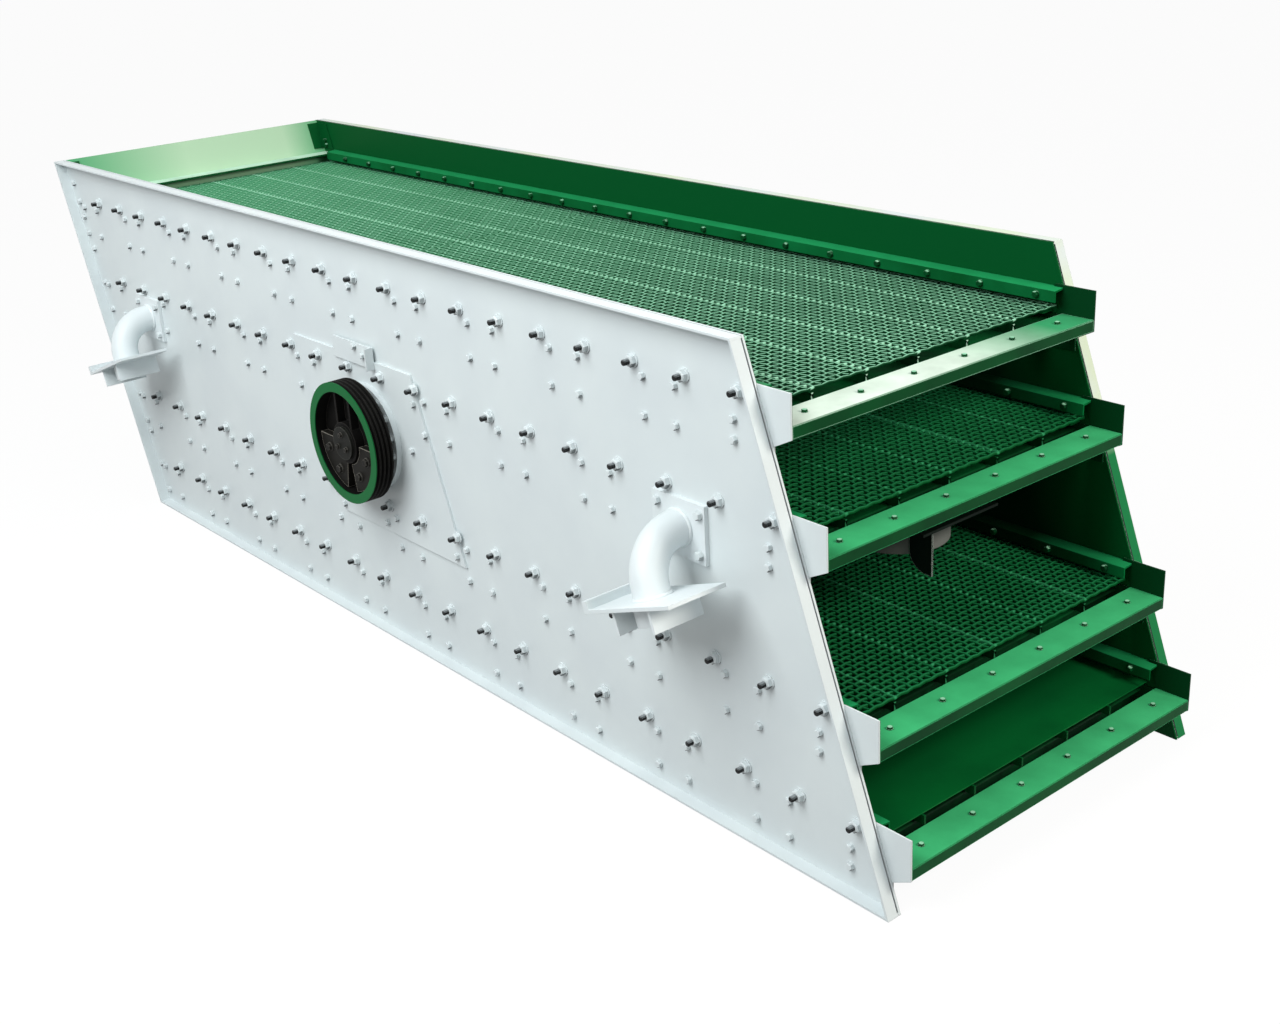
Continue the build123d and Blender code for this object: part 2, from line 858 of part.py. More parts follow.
angles = [side_angle(row, surface) for row, surface in zip(rows, surfaces)]
rails = [clamp_rail(row) for row in rows]
cheeks = [cheek(row) for row in rows]
save("drive_side_angles", *angles)
save("far_side_angles", *[other_side(angle) for angle in angles])
save("drive_clamp_rails", *rails)
save("far_clamp_rails", *[other_side(rail) for rail in rails])
save("drive_cheeks", *cheeks)
save("far_cheeks", *[other_side(piece) for piece in cheeks])

save("feed_end_plate", back_plate(row_one, plate_height))
save("lower_back_plates", *[back_plate(row, row + back_plate_height) for row in rows[1:]])
save("feed_corner_angles", corner_angle(), other_side(corner_angle()))
save("feed_hold_downs", *[hold_down(row) for row in rows[:3]])

nuts = clamp_nuts()
save("drive_clamp_nuts", *nuts)
save("far_clamp_nuts", *[other_side(nut) for nut in nuts])

feed_support = spring_support(support_from_end)
discharge_support = spring_support(plate_length - support_from_end)
save("drive_feed_support", feed_support)
save("drive_discharge_support", discharge_support)
save("far_feed_support", other_side(feed_support))
save("far_discharge_support", other_side(discharge_support))
cups = [spring_cup(place) for place in (support_from_end, plate_length - support_from_end)]
save("spring_cups", *cups, *[other_side(cup) for cup in cups])

save("guard_drum", guard_drum())
save("guard_baffle", guard_baffle())
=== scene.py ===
from functools import partial
from math import cos, hypot, pi, radians, sin, sqrt, tan, tau

import bmesh
import bpy
from mathutils import Matrix, Vector


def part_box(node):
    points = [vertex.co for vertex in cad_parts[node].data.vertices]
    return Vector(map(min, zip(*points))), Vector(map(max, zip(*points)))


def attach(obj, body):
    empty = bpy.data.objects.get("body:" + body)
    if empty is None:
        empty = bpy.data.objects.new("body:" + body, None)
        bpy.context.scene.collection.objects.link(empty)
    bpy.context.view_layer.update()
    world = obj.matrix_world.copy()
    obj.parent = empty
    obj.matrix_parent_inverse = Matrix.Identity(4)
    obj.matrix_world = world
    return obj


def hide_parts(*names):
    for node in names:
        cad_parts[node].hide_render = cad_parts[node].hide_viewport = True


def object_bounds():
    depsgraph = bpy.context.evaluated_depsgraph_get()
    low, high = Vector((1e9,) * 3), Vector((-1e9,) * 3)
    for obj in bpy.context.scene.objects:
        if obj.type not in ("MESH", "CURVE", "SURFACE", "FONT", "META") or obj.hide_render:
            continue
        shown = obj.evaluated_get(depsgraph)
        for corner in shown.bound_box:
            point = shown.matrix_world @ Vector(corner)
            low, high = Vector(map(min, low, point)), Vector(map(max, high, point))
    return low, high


bl_info = {
    "name": "Vibrating sieve",
    "version": (1, 0, 0),
    "blender": (4, 5, 0),
    "location": "View3D > Sidebar > Sieve",
    "description": "Dresses the CAD frame of an inclined vibrating screen with wire decks, bolts and paint",
    "category": "Object",
}

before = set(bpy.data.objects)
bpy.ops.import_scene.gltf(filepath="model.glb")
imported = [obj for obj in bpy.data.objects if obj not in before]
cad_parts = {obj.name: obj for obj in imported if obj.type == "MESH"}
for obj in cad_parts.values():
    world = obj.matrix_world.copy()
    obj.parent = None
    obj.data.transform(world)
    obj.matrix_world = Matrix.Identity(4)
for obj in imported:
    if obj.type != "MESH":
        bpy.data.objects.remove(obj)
cad_low, cad_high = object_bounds()

# Places read from the frame, in metres
plate_low, plate_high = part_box("drive_side_plate")
pulley_low, pulley_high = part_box("drive_pulley")
pad_low, pad_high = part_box("drive_reinforcing_plate")
working_slope = radians(20)
slant = tan(working_slope)
feed_top = plate_low.x
plate_height = plate_high.z
plate_length = plate_high.x - plate_low.x - plate_height * slant
plate_face = -plate_low.y
pad_face = -pad_low.y
inner_face = -plate_high.y
exciter_x = (pulley_low.x + pulley_high.x) / 2
exciter_z = (pulley_low.z + pulley_high.z) / 2
wheel_front = -pulley_low.y

# Rows of clamp bolts from the top deck to the pan
row_heights = (1.885, 1.420, 0.735, 0.300)
first_clamp = 0.4
clamp_pitch = 0.3
clamp_count = 20
bar_spacing = 0.3
corner_inset = 0.085
sides = ((-1, "drive"), (1, "far"))


def feed_edge(z):
    return feed_top + (plate_height - z) * slant


def discharge_edge(z):
    return feed_edge(z) + plate_length


def outside_face(x, z, margin):
    """Distance from the middle to the outer skin at a place, on the reinforcing plate if it is there."""
    low = pad_low.x + (pad_high.z - z) * slant
    length = pad_high.x - pad_low.x - (pad_high.z - pad_low.z) * slant
    beside = low - margin < x < low + length + margin
    level = pad_low.z - margin < z < pad_high.z + margin
    return pad_face if beside and level else plate_face


def linear(code):
    """Linear colour with full alpha from an sRGB hex value."""
    channels = [int(code[start:start + 2], 16) / 255 for start in (1, 3, 5)]
    return tuple(c / 12.92 if c <= 0.04045 else ((c + 0.055) / 1.055) ** 2.4 for c in channels) + (1.0,)


# Colours that a user would change: name, where it is and sRGB value
finishes = (
    ("white", "Outside of the plates and housings", "#D9E1E2"),
    ("white_shade", "Thin patches in the white enamel", "#D4DCDE"),
    ("support_white", "Cleaner white of the four supports", "#DFE6E8"),
    # grime darkens the underside of nuts and bolt heads: painted shade
    ("grime", "Grease on the underside of nuts and bolt heads", "#5C6163"),
    # gap darkens the chamfer between the edge bars and the plates: painted shade
    ("gap", "Dark line between the edge bars and the plates", "#2E3334"),
    ("far_edge", "Cream top of the far plate's edge bars", "#D2DEC4"),
    ("far_edge_low", "Green overspray low on the far plate's edge bars", "#127540"),
    ("deck_green", "Walls above the top deck", "#055025"),
    ("deck_shade", "Thin patches in the deck green", "#044A22"),
    # deep_green darkens walls and beams into the box: painted shade
    ("deep_green", "Greasy walls and beams in the depth of the box", "#03220F"),
    # pan_green is the lit end of a pan that darkens inward: painted light and shade
    ("pan_green", "Bottom pan near the discharge edge", "#08682F"),
    ("cheek_green", "Inner faces of the cheeks", "#05391B"),
    # lip_green is the darker, shaded copy of the lips' green on the folds: painted shade
    ("lip_green", "Folds of the discharge lips", "#04371A"),
    ("rail_green", "Faces of the clamp rails", "#0A6A38"),
    # rail_top is a lighter copy of the rails' green on their upper faces: painted light
    ("rail_top", "Upper faces of the clamp rails", "#209257"),
    # lip_top is a lighter copy of the lips' green on their upper faces: painted light
    ("lip_top", "Upper faces of the lower lips, dulled by dust", "#40B273"),
    # lip_edge is a painted highlight along the lips' edges and on the tops of the inner bolts
    ("lip_edge", "Paint rubbed thin along the edges of the lips", "#9AD8B4"),
    # dust is a pale painted sheen with drifts on the top lip
    ("dust", "Pale dust on the top lip", "#DDEDDF"),
    # strip_edge is a painted highlight on the strips' upper faces
    ("strip_edge", "Mint upper faces of the strips at the feed end", "#D2F5DE"),
    # feed_pale is a pale painted sheen in the middle of the feed plate
    ("feed_pale", "Pale worn green in the middle of the feed plate", "#B9D8B8"),
    ("feed_green", "Greener ends of the feed plate", "#4FA873"),
    ("wire_green", "Painted sides of the deck wire", "#07381D"),
    # wire_worn: worn paint and a painted highlight on the crowns
    ("wire_worn", "Paint rubbed thin on top of the wires of the top deck", "#86C4A2"),
    # wire_low: a dimmer painted highlight on the crowns of the lower decks, dimmed as painted shade
    ("wire_low", "Greasy crowns of the wires of the lower decks", "#217A4A"),
    ("feed_wire", "Dusty wires of the top deck towards the feed end", "#2F8455"),
    # line and line_low: pale over the bars, partly worn paint and partly painted light; line_low is the
    # dimmer copy, painted shade
    ("line", "Wire worn pale where it bears on the bars of the top deck", "#9CD4B6"),
    ("line_low", "The same on the lower decks", "#338E5E"),
    ("cap", "Pale rubber caps on the bars under the top deck", "#BCE6CC"),
    # cap_low is a darker copy of the cap colour under the lower decks: painted shade
    ("cap_low", "Greasy caps under the lower decks", "#35905E"),
    ("rim_green", "Front ring of the pulley and the flywheel", "#0C6231"),
    ("iron", "Black grooves, hub and web of the wheels", "#070707"),
    ("weight", "Grey-brown castings bolted to the wheels", "#1A1916"),
    # weight_edge: bare edges of the castings and a painted highlight
    ("weight_edge", "Paint rubbed off along the edges of the castings", "#9A958A"),
    ("stud", "Oiled black underside of the clamp bolts", "#0B0C0D"),
    # overspray lightens the upper side of the threads: painted light
    ("overspray", "White paint caught on the upper side of the threads", "#8C9193"),
    ("drum", "Grey lower rim of the guard drum", "#6A6B68"),
    # baffle also darkens the plate above the drum: painted shade
    ("baffle", "Black-green baffle and the plate above the drum", "#0D1812"),
    ("steel", "Ground rings, rollers and the shaft", "#9A9C9E"),
)

# Lengths that a user would change, in metres
lengths = (
    ("wire", "Diameter of the wire on the top mesh deck", 0.0115),
    ("middle_wire", "Diameter of the wire on the middle mesh deck", 0.0145),
    ("lower_wire", "Diameter of the wire on the bottom mesh deck", 0.0145),
    ("top_pitch", "Spacing of the wires on the top deck", 0.0375),
    ("middle_pitch", "Spacing of the wires on the middle mesh deck", 0.036),
    ("lower_pitch", "Spacing of the wires on the bottom mesh deck", 0.0355),
    ("clamp_flats", "Across flats of the clamp nuts", 0.046),
    ("clamp_height", "Height of the clamp nuts", 0.021),
    ("clamp_washer", "Radius of the washers under the clamp nuts", 0.032),
    ("stud_radius", "Radius of the threaded ends", 0.013),
    ("stud_length", "Threaded end beyond the nut", 0.025),
    ("bolt_flats", "Across flats of the bolts through the plates", 0.030),
    ("bolt_height", "Height of the frame bolt heads", 0.016),
    ("cap_width", "Width of the rubber caps on the support bars", 0.028),
    ("cap_height", "Height of the rubber caps on the support bars", 0.012),
)


def title(name):
    return name.replace("_", " ").capitalize()


def colour_property(name, text, code):
    return bpy.props.FloatVectorProperty(
        name=title(name), description=text, default=linear(code), subtype="COLOR", size=4, min=0, max=1
    )


def length_property(name, text, value):
    return bpy.props.FloatProperty(name=title(name), description=text, default=value, min=0, unit="LENGTH")


class SieveFinishes(bpy.types.PropertyGroup):
    __annotations__ = {name: colour_property(name, text, code) for name, text, code in finishes}


class SieveSizes(bpy.types.PropertyGroup):
    __annotations__ = {name: length_property(name, text, value) for name, text, value in lengths}


class SieveStage(bpy.types.PropertyGroup):
    lens: bpy.props.FloatProperty(
        name="Lens", description="Focal length on a 36 mm sensor", default=46.0, min=1
    )
    sky: bpy.props.FloatProperty(name="Sky", description="Strength of the even light", default=0.4, min=0)
    key: bpy.props.FloatProperty(
        name="Key", description="Cool light from above on the drive side", default=955, unit="POWER"
    )
    side: bpy.props.FloatProperty(
        name="Side", description="Warm light on the discharge end", default=540, unit="POWER"
    )


def per_metre(millimetres):
    """Noise scale at which one feature is about this large."""
    return 1000 / millimetres


def add_node(tree, kind, inputs=(), **settings):
    """Adds a node and hands back its outputs; inputs come by name or in order, as values or outputs."""
    families = ("ShaderNode", "GeometryNode", "FunctionNode", "Node")
    node = tree.nodes.new(next(family + kind for family in families if hasattr(bpy.types, family + kind)))
    for name, value in settings.items():
        setattr(node, name, value)
    named = inputs if isinstance(inputs, dict) else dict(enumerate(inputs))
    for name, value in named.items():
        for source in value if isinstance(value, list) else [value]:
            if isinstance(source, bpy.types.NodeSocket):
                tree.links.new(source, node.inputs[name])
            else:
                node.inputs[name].default_value = source
    return node.outputs


def new_material(name):
    material = bpy.data.materials.new(name)
    material.use_nodes = True
    material.node_tree.nodes.clear()
    return material, partial(add_node, material.node_tree)


def start_finish(name, *patterns):
    """New material, the place of its points and its noises, each given as (millimetres, detail)."""
    material, add = new_material(name)
    place = add("TexCoord")["Object"]
    noises = []
    for millimetres, detail in patterns:
        scale = per_metre(millimetres)
        noises.append(add("TexNoise", {"Vector": place, "Scale": scale, "Detail": detail})[0])
    return material, add, place, *noises


def finish_material(add, colour, roughness, **others):
    """Ends a material in one Principled shader, with underscores in the names standing for spaces."""
    named = {name.replace("_", " "): value for name, value in others.items()}
    shader = add("BsdfPrincipled", {"Base Color": colour, "Roughness": roughness, **named})
    add("OutputMaterial", {"Surface": shader[0]})


def coats(add, paint, *layers):
    """Colour of a paint with each (share, colour) laid over it in turn."""
    for share, colour in layers:
        over = add("Mix", {0: share, 6: paint, 7: colour}, data_type="RGBA")
        paint = over[2]
    return paint


def relief(add, pattern, strength, depth, rounding):
    """Bumps from a pattern, on edges rounded by a small radius."""
    edge = add("Bevel", {"Radius": rounding}, samples=4)[0]
    return add("Bump", {"Strength": strength, "Distance": depth, "Height": pattern, "Normal": edge})[0]


def level_share(add, none, full):
    """Share from none to full between two heights of the surface's normal."""
    facing = add("NewGeometry")["Normal"]
    up = add("SeparateXYZ", {0: facing})["Z"]
    return add("MapRange", (up, none, full))[0]


def upward_light(add, place):
    """Share of the lighter top colour on faces that look up, in drifts: painted light."""
    level = level_share(add, 0.6, 0.95)
    drift = add("TexNoise", {"Vector": place, "Scale": per_metre(160), "Detail": 6.0})
    thick = add("MapRange", (drift[0], 0.3, 0.7, 0.75))[0]
    return add("Math", (level, thick), operation="MULTIPLY")[0]


def edge_share(add, radius):
    """Share along the edges of a piece, for worn edges and for painted highlights."""
    corner = add("Bevel", {"Radius": radius}, samples=6)[0]
    facing = add("NewGeometry")["Normal"]
    even = add("VectorMath", (corner, facing), operation="DOT_PRODUCT")["Value"]
    return add("MapRange", (even, 0.98, 0.86))[0]


def depth_shade_share(add, place):
    """Share of painted shade below the top deck, from none at the discharge edge to full half a metre
    inside.
    """
    edge = discharge_edge(0.0)
    along = add("VectorMath", (place, (1, 0, slant)), operation="DOT_PRODUCT")
    depth_shade = add("MapRange", (along["Value"], edge - 0.03, edge - 0.5))[0]
    height = add("SeparateXYZ", {0: place})["Z"]
    below = add("MapRange", (height, row_heights[0] - 0.05, row_heights[0] - 0.12))
    return add("Math", (depth_shade, below[0]), operation="MULTIPLY")[0]


# Sprayed gloss enamel on plate: even colour with thin patches and orange peel, with painted highlights,
# lighter tops and painted shade laid over it
def enamel(
    name, colour, shade, roughness, specular=0.5, top=None, far_top=None, under=None,
    inside=None, depth_shade=None, groove_shade=None, edge_highlight=None, foot=None, front_foot=None, ends=None,
):
    # Orange peel is about 3 mm across and is drawn at 8 mm so that it shows
    material, add, place, patch, fine, peel = start_finish(name, (420, 4.0), (25, 3.0), (8, 1.0))
    spot = add("SeparateXYZ", {0: place})
    geometry = add("NewGeometry")
    facing = add("SeparateXYZ", {0: geometry["True Normal"]})
    spread = add("MapRange", (patch, 0.38, 0.66))[0]
    paint = coats(add, colour, (spread, shade))
    if ends:
        near = add("MapRange", (spot["Y"], -0.9, -0.1, 1.0, 0.0))[0]
        far = add("MapRange", (spot["Y"], 0.62, 0.86, 0.0, 0.8))[0]
        either = add("Math", (near, far))[0]
        paint = coats(add, paint, (either, ends))
    if foot or front_foot:
        height, low_colour = foot or front_foot
        low = add("MapRange", (spot["Z"], height + 0.06, height - 0.06))[0]
        if front_foot:
            ahead = add("Math", (facing["X"], 0.5), operation="GREATER_THAN")[0]
            low = add("Math", (low, ahead), operation="MULTIPLY")[0]
        paint = coats(add, paint, (low, low_colour))
    # Painted light: faces that look up take the lighter top colour, in drifts
    if top:
        if far_top:
            across = add("MapRange", (spot["Y"], 0.05, 0.7))[0]
            top = coats(add, top, (across, far_top))
        paint = coats(add, paint, (upward_light(add, place), top))
    # Painted shade: faces that look down take the darker colour
    if under:
        facing_down_shade = add("MapRange", (facing["Z"], -0.1, -0.6))[0]
        paint = coats(add, paint, (facing_down_shade, under))
    # Green lining inside; with depth_shade it darkens into the box: painted shade
    if inside:
        side, limit, inner = inside
        outward = add("Math", (spot["Y"], float(side)), operation="MULTIPLY")[0]
        within = add("Math", (outward, limit), operation="LESS_THAN")[0]
        lining = coats(add, inner, (depth_shade_share(add, place), depth_shade)) if depth_shade else inner
        paint = coats(add, paint, (within, lining))
    elif depth_shade:
        paint = coats(add, paint, (depth_shade_share(add, place), depth_shade))
    # Painted shade: faces turned towards the plate, in the chamfer beside it, are dark
    if groove_shade:
        side, dark = groove_shade
        turned = add("Math", (facing["Y"], float(side)), operation="MULTIPLY")[0]
        in_shade = add("Math", (turned, -0.3), operation="LESS_THAN")[0]
        paint = coats(add, paint, (in_shade, dark))
    # Painted highlight along the edges
    if edge_highlight:
        paint = coats(add, paint, (edge_share(add, 0.006), edge_highlight))
    gloss = add("MapRange", {0: fine, 3: roughness - 0.06, 4: roughness + 0.10})[0]
    surface = relief(add, peel, 0.06, 0.001, 0.003)
    finish_material(add, paint, gloss, IOR=1.5, Specular_IOR_Level=specular, Normal=surface)
    return material


# Painted crimped wire: pale on the crowns, partly worn paint and partly painted highlight, pale over the
# bars, partly worn paint and partly painted light, dark in the crossings
def wire_enamel(name, colour, worn, line, line_half, feed):
    material, add, place, drift = start_finish(name, (240, 4.0))
    crown_light = level_share(add, 0.6, 0.97)
    rubbed = add("MapRange", (drift, 0.3, 0.7, 0.7))[0]
    spot = add("SeparateXYZ", {0: place})
    from_bar = add("Math", (spot["Y"], bar_spacing / 2), operation="PINGPONG")[0]
    bears = add("MapRange", (from_bar, line_half + 0.003, line_half - 0.003))[0]
    dusty = add("MapRange", (spot["X"], 1.5, -3.0))[0]
    crowns = add("Math", (crown_light, rubbed), operation="MULTIPLY")[0]
    lines = add("Math", (bears, rubbed), operation="MULTIPLY")[0]
    paint = coats(add, colour, (dusty, feed), (crowns, worn), (lines, line))
    gloss = add("MapRange", {0: drift, 3: 0.35, 4: 0.5})[0]
    finish_material(add, paint, gloss, IOR=1.5, Specular_IOR_Level=0.05)
    return material


# Cast wheel: gloss green on the front ring of the rim, greasy black iron with a sand-cast skin elsewhere
def wheel_finish(name, side, green, iron):
    # Sand-cast skin is about 2 mm across and is drawn at 6 mm so that it shows
    material, add, place, skin, grime = start_finish(name, (6, 3.0), (60, 4.0))
    ring_radius = 0.259
    ring_depth = 0.004
    centre = (exciter_x, 0.0, exciter_z)
    from_axis = add("VectorMath", (place, centre), operation="SUBTRACT")[0]
    flat = add("VectorMath", (from_axis, (1, 0, 1)), operation="MULTIPLY")[0]
    radius = add("VectorMath", {0: flat}, operation="LENGTH")["Value"]
    on_rim = add("Math", (radius, ring_radius), operation="GREATER_THAN")[0]
    across = add("SeparateXYZ", {0: place})["Y"]
    outward = add("Math", (across, float(side)), operation="MULTIPLY")[0]
    in_front = add("Math", (outward, wheel_front - ring_depth), operation="GREATER_THAN")
    ring = add("Math", (on_rim, in_front[0]), operation="MULTIPLY")[0]
    greasy = (grime, linear("#151413"))
    worn = (edge_share(add, 0.004), linear("#3C3A36"))
    paint = coats(add, iron, greasy, worn, (ring, green))
    gloss = add("MapRange", {0: ring, 3: 0.65, 4: 0.4})[0]
    rough = add("MapRange", {0: ring, 3: 0.35, 4: 0.05})[0]
    surface = relief(add, skin, rough, 0.002, 0.003)
    finish_material(add, paint, gloss, IOR=1.5, Specular_IOR_Level=0.06, Normal=surface)
    return material


# Sand-cast iron under thin dirty paint: dull, mottled and slightly pitted, bare along its edges; on the
# weights the light edges are also a painted highlight
def casting(name, colour, bare):
    material, add, _, skin, mottle = start_finish(name, (7, 4.0), (70, 4.0))
    dark = tuple(0.55 * channel for channel in colour[:3]) + (1.0,)
    paint = coats(add, dark, (mottle, colour), (edge_share(add, 0.007), bare))
    surface = relief(add, skin, 0.4, 0.002, 0.004)
    finish_material(add, paint, 0.6, IOR=1.5, Specular_IOR_Level=0.1, Normal=surface)
    return material


# Oiled black steel thread: ridges across the stud, with painted light on its upper side, standing for light
# from above
def thread_steel(name, colour, overspray):
    material, add, place = start_finish(name)
    lit = level_share(add, 0.3, 0.95)
    # An M30 thread has a 3.5 mm pitch and is drawn at 7 mm so that it shows
    turns = add("TexWave", {"Vector": place, "Scale": per_metre(7) / tau}, bands_direction="Y")
    crest = add("MapRange", {0: turns[1], 1: 0.7, 2: 1.0, 4: 0.25})[0]
    metal = coats(add, colour, (crest, linear("#4A4B4C")), (lit, overspray))
    surface = add("Bump", {"Strength": 0.6, "Distance": 0.002, "Height": turns[1]})[0]
    finish_material(add, metal, 0.55, IOR=1.5, Specular_IOR_Level=0.2, Normal=surface)
    return material


# Ground bearing steel: bright metal with fine turning marks round the axis
def ground_steel(name, colour):
    material, add, place, film = start_finish(name, (90, 3.0))
    # Turning marks are finer than 1 mm and are drawn at 4 mm so that they show
    pattern = {"Vector": place, "Scale": per_metre(4) / tau, "Distortion": 2.0}
    marks = add("TexWave", pattern, bands_direction="Y")
    gloss = add("MapRange", {0: marks[1], 3: 0.22, 4: 0.38})[0]
    dull = tuple(0.7 * channel for channel in colour[:3]) + (1.0,)
    metal = coats(add, colour, (film, dull))
    finish_material(add, metal, gloss, Metallic=1.0)
    return material


def paint_nodes(material, *names):
    """Gives CAD nodes a material in place of the imported one."""
    for name in names:
        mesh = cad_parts[name].data
        mesh.materials.clear()
        mesh.materials.append(material)


def both(*names):
    """Node names of a piece on the drive side and the far side."""
    return [f"{side}_{name}" for name in names for side in ("drive", "far")]


def decks(*names):
    return [f"{deck}_{name}" for name in names for deck in ("deck1", "deck2", "deck3", "pan")]


class SIEVE_OT_paint(bpy.types.Operator):
    """Make the finishes and give them to the CAD nodes"""
    bl_idname = "sieve.paint"
    bl_label = "Paint the frame"

    def execute(self, context):
        look = context.scene.sieve_finishes
        whites = (look.white, look.white_shade, 0.42)
        greens = (look.deck_green, look.deck_shade)
        deep_green = look.deep_green
        lip = (look.lip_green, greens[1], 0.45, 0.06)

        # Materials of the pieces that the other steps add
        # Nuts and bolt heads take painted shade on faces that look down
        enamel("fastener_enamel", *whites, under=look.grime)
        # Inner bolt heads take a painted highlight on their tops
        enamel("inner_bolt_enamel", *lip, look.lip_edge)
        casting("dark_bolt_steel", linear("#1B1A18"), linear("#55534E"))
        thread_steel("black_thread_steel", look.stud, look.overspray)
        top_wire = (look.wire_green, look.wire_worn, look.line)
        wire_enamel("worn_and_highlit_wire_enamel", *top_wire, line_half=0.009, feed=look.feed_wire)
        # Lower decks: dimmer crowns and lines, painted shade over painted highlight
        low_wire = (look.deck_shade, look.wire_low, look.line_low)
        wire_enamel("shaded_wire_enamel", *low_wire, line_half=0.007, feed=look.deck_shade)
        # Moulded rubber: dull and even, with hardly any gloss
        enamel("pale_cap_rubber", look.cap, look.cap, 0.7, 0.1)
        # Caps under the lower decks in a darker copy: painted shade
        enamel("shaded_cap_rubber", look.cap_low, greens[0], 0.7, 0.1)

        # Plates, cheeks and edge bars: the drive side is green on its inner faces only, the far side on all
        # but its outer faces
        skin = 0.0005
        white_edge = 0.0065
        # Overspray on the far edge bars reaches up to here
        overspray_height = 1.27
        for side, name in sides:
            sheen = 0.5 if name == "drive" else 0.04
            limit = inner_face + skin if name == "drive" else plate_face - skin
            lining = (side, limit, greens[0])
            # The inner green darkens with depth below the top deck: painted shade
            wall = enamel(f"{name}_plate_enamel", *whites, sheen, inside=lining, depth_shade=deep_green)
            limit = inner_face - (white_edge if name == "drive" else skin)
            lining = (side, limit, look.cheek_green)
            cheek = enamel(f"{name}_cheek_enamel", *whites, sheen, inside=lining)
            # Faces in the chamfer beside the plate are dark: painted shade
            if name == "drive":
                edges = enamel("drive_edge_enamel", *whites, groove_shade=(side, look.gap))
            else:
                edges = enamel(
                    "far_edge_enamel", look.far_edge, look.white_shade, 0.42, 0.1,
                    groove_shade=(side, look.gap), front_foot=(overspray_height, look.far_edge_low),
                )
            paint_nodes(wall, f"{name}_side_plate")
            paint_nodes(cheek, f"{name}_cheeks")
            paint_nodes(edges, f"{name}_edge_bars")

        # The other CAD nodes
        covers = both("reinforcing_plate", "bearing_housing", "bearing_cover", "clamp_nuts")
        paint_nodes(enamel("white_enamel", *whites), *covers, "belt_guard_bracket")
        fresh = enamel("support_enamel", look.support_white, look.white, 0.42)
        paint_nodes(fresh, *both("feed_support", "discharge_support"), "spring_cups")
        green = enamel("deck_green_enamel", *greens, 0.5, 0.04)
        paint_nodes(green, *both("side_angles"), "feed_corner_angles", "pan_support_bars")
        paint_nodes(green, *decks("mesh")[:3])
        # Beams, tube and back plates in a darker copy of the deck green: painted shade
        depth_shade = enamel("depth_shade_enamel", deep_green, greens[1], 0.55, 0.03)
        paint_nodes(depth_shade, *decks("cross_beams"), "exciter_tube", "lower_back_plates")
        paint_nodes(depth_shade, *decks("support_bars")[:3])
        # The pan is lit green at the discharge edge and darkens inward: painted light and shade
        pan = enamel("pan_enamel", look.pan_green, greens[0], 0.5, 0.04, depth_shade=greens[0])
        paint_nodes(pan, "bottom_pan")
        # Top lip: pale painted sheen with drifts on its upper faces, greener across, and painted highlights
        # along its edges
        top_lip = enamel("dusty_lip_enamel", *lip, look.dust, linear("#3A9A66"), edge_highlight=look.lip_edge)
        paint_nodes(top_lip, "deck1_discharge_lip")
        # Lower lips: lighter upper faces and painted highlights along the edges over a darker fold: painted
        # light and shade
        lips = enamel("lip_green_enamel", *lip, look.lip_top, edge_highlight=look.lip_top)
        paint_nodes(lips, *decks("discharge_lip")[1:])
        # Rails: lighter upper faces, painted light, and darker into the box, painted shade
        rail = (look.rail_green, greens[0], 0.45, 0.06, look.rail_top)
        paint_nodes(enamel("rail_enamel", *rail, depth_shade=deep_green), *both("clamp_rails"))
        # Strips: painted highlight on their upper faces
        paint_nodes(enamel("strip_enamel", *greens, 0.5, 0.06, look.strip_edge), "feed_hold_downs")
        # Feed plate: pale painted sheen in the middle, greener ends and a green foot
        foot = (row_heights[0] - 0.05, look.feed_green)
        pale = (look.feed_pale, look.feed_pale, 0.5, 0.1)
        paint_nodes(enamel("feed_plate_enamel", *pale, ends=look.feed_green, foot=foot), "feed_end_plate")
        # The plate above the drum is as dark as the baffle, painted shade; the drum's rim is grey
        rim_depth = 0.085
        rim = (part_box("guard_drum")[0].z + rim_depth, look.drum)
        drum = enamel("drum_enamel", look.baffle, linear("#0A120E"), 0.5, 0.06, foot=rim)
        paint_nodes(drum, "guard_drum")
        # Baffle: painted highlight along its edges
        baffle = enamel("baffle_enamel", look.baffle, linear("#14211A"), 0.5, 0.06, edge_highlight=linear("#B4BCB7"))
        paint_nodes(baffle, "guard_baffle")
        paint_nodes(wheel_finish("pulley_finish", -1, look.rim_green, look.iron), "drive_pulley")
        paint_nodes(wheel_finish("flywheel_finish", 1, look.rim_green, look.iron), "far_flywheel")
        # Weights: light edges, bare metal and a painted highlight
        weights = casting("weight_casting", look.weight, look.weight_edge)
        paint_nodes(weights, "pulley_weights", "flywheel_weights")
        hub = casting("hub_casting", linear("#1B1C19"), linear("#4A4B46"))
        paint_nodes(hub, "pulley_end_plate", "flywheel_end_plate")
        bearings = both("bearing_outer_ring", "bearing_inner_ring", "bearing_rollers")
        paint_nodes(ground_steel("ground_bearing_steel", look.steel), *bearings, "eccentric_shaft")
        return {"FINISHED"}


def new_tree(name, **inputs):
    """Geometry tree with named inputs, the call that adds its nodes, and the outputs of its group input."""
    tree = bpy.data.node_groups.new(name, "GeometryNodeTree")
    for label, kind in inputs.items():
        tree.interface.new_socket(label.replace("_", " "), in_out="INPUT", socket_type="NodeSocket" + kind)
    tree.interface.new_socket("Result", in_out="OUTPUT", socket_type="NodeSocketGeometry")
    add = partial(add_node, tree)
    return tree, add, add("GroupInput")


def finish_tree(add, shape, material):
    """Ends a tree with plain geometry in one material."""
    real = add("RealizeInstances", {"Geometry": shape})[0]
    painted = add("SetMaterial", {"Geometry": real, "Material": material})[0]
    add("GroupOutput", {0: painted})


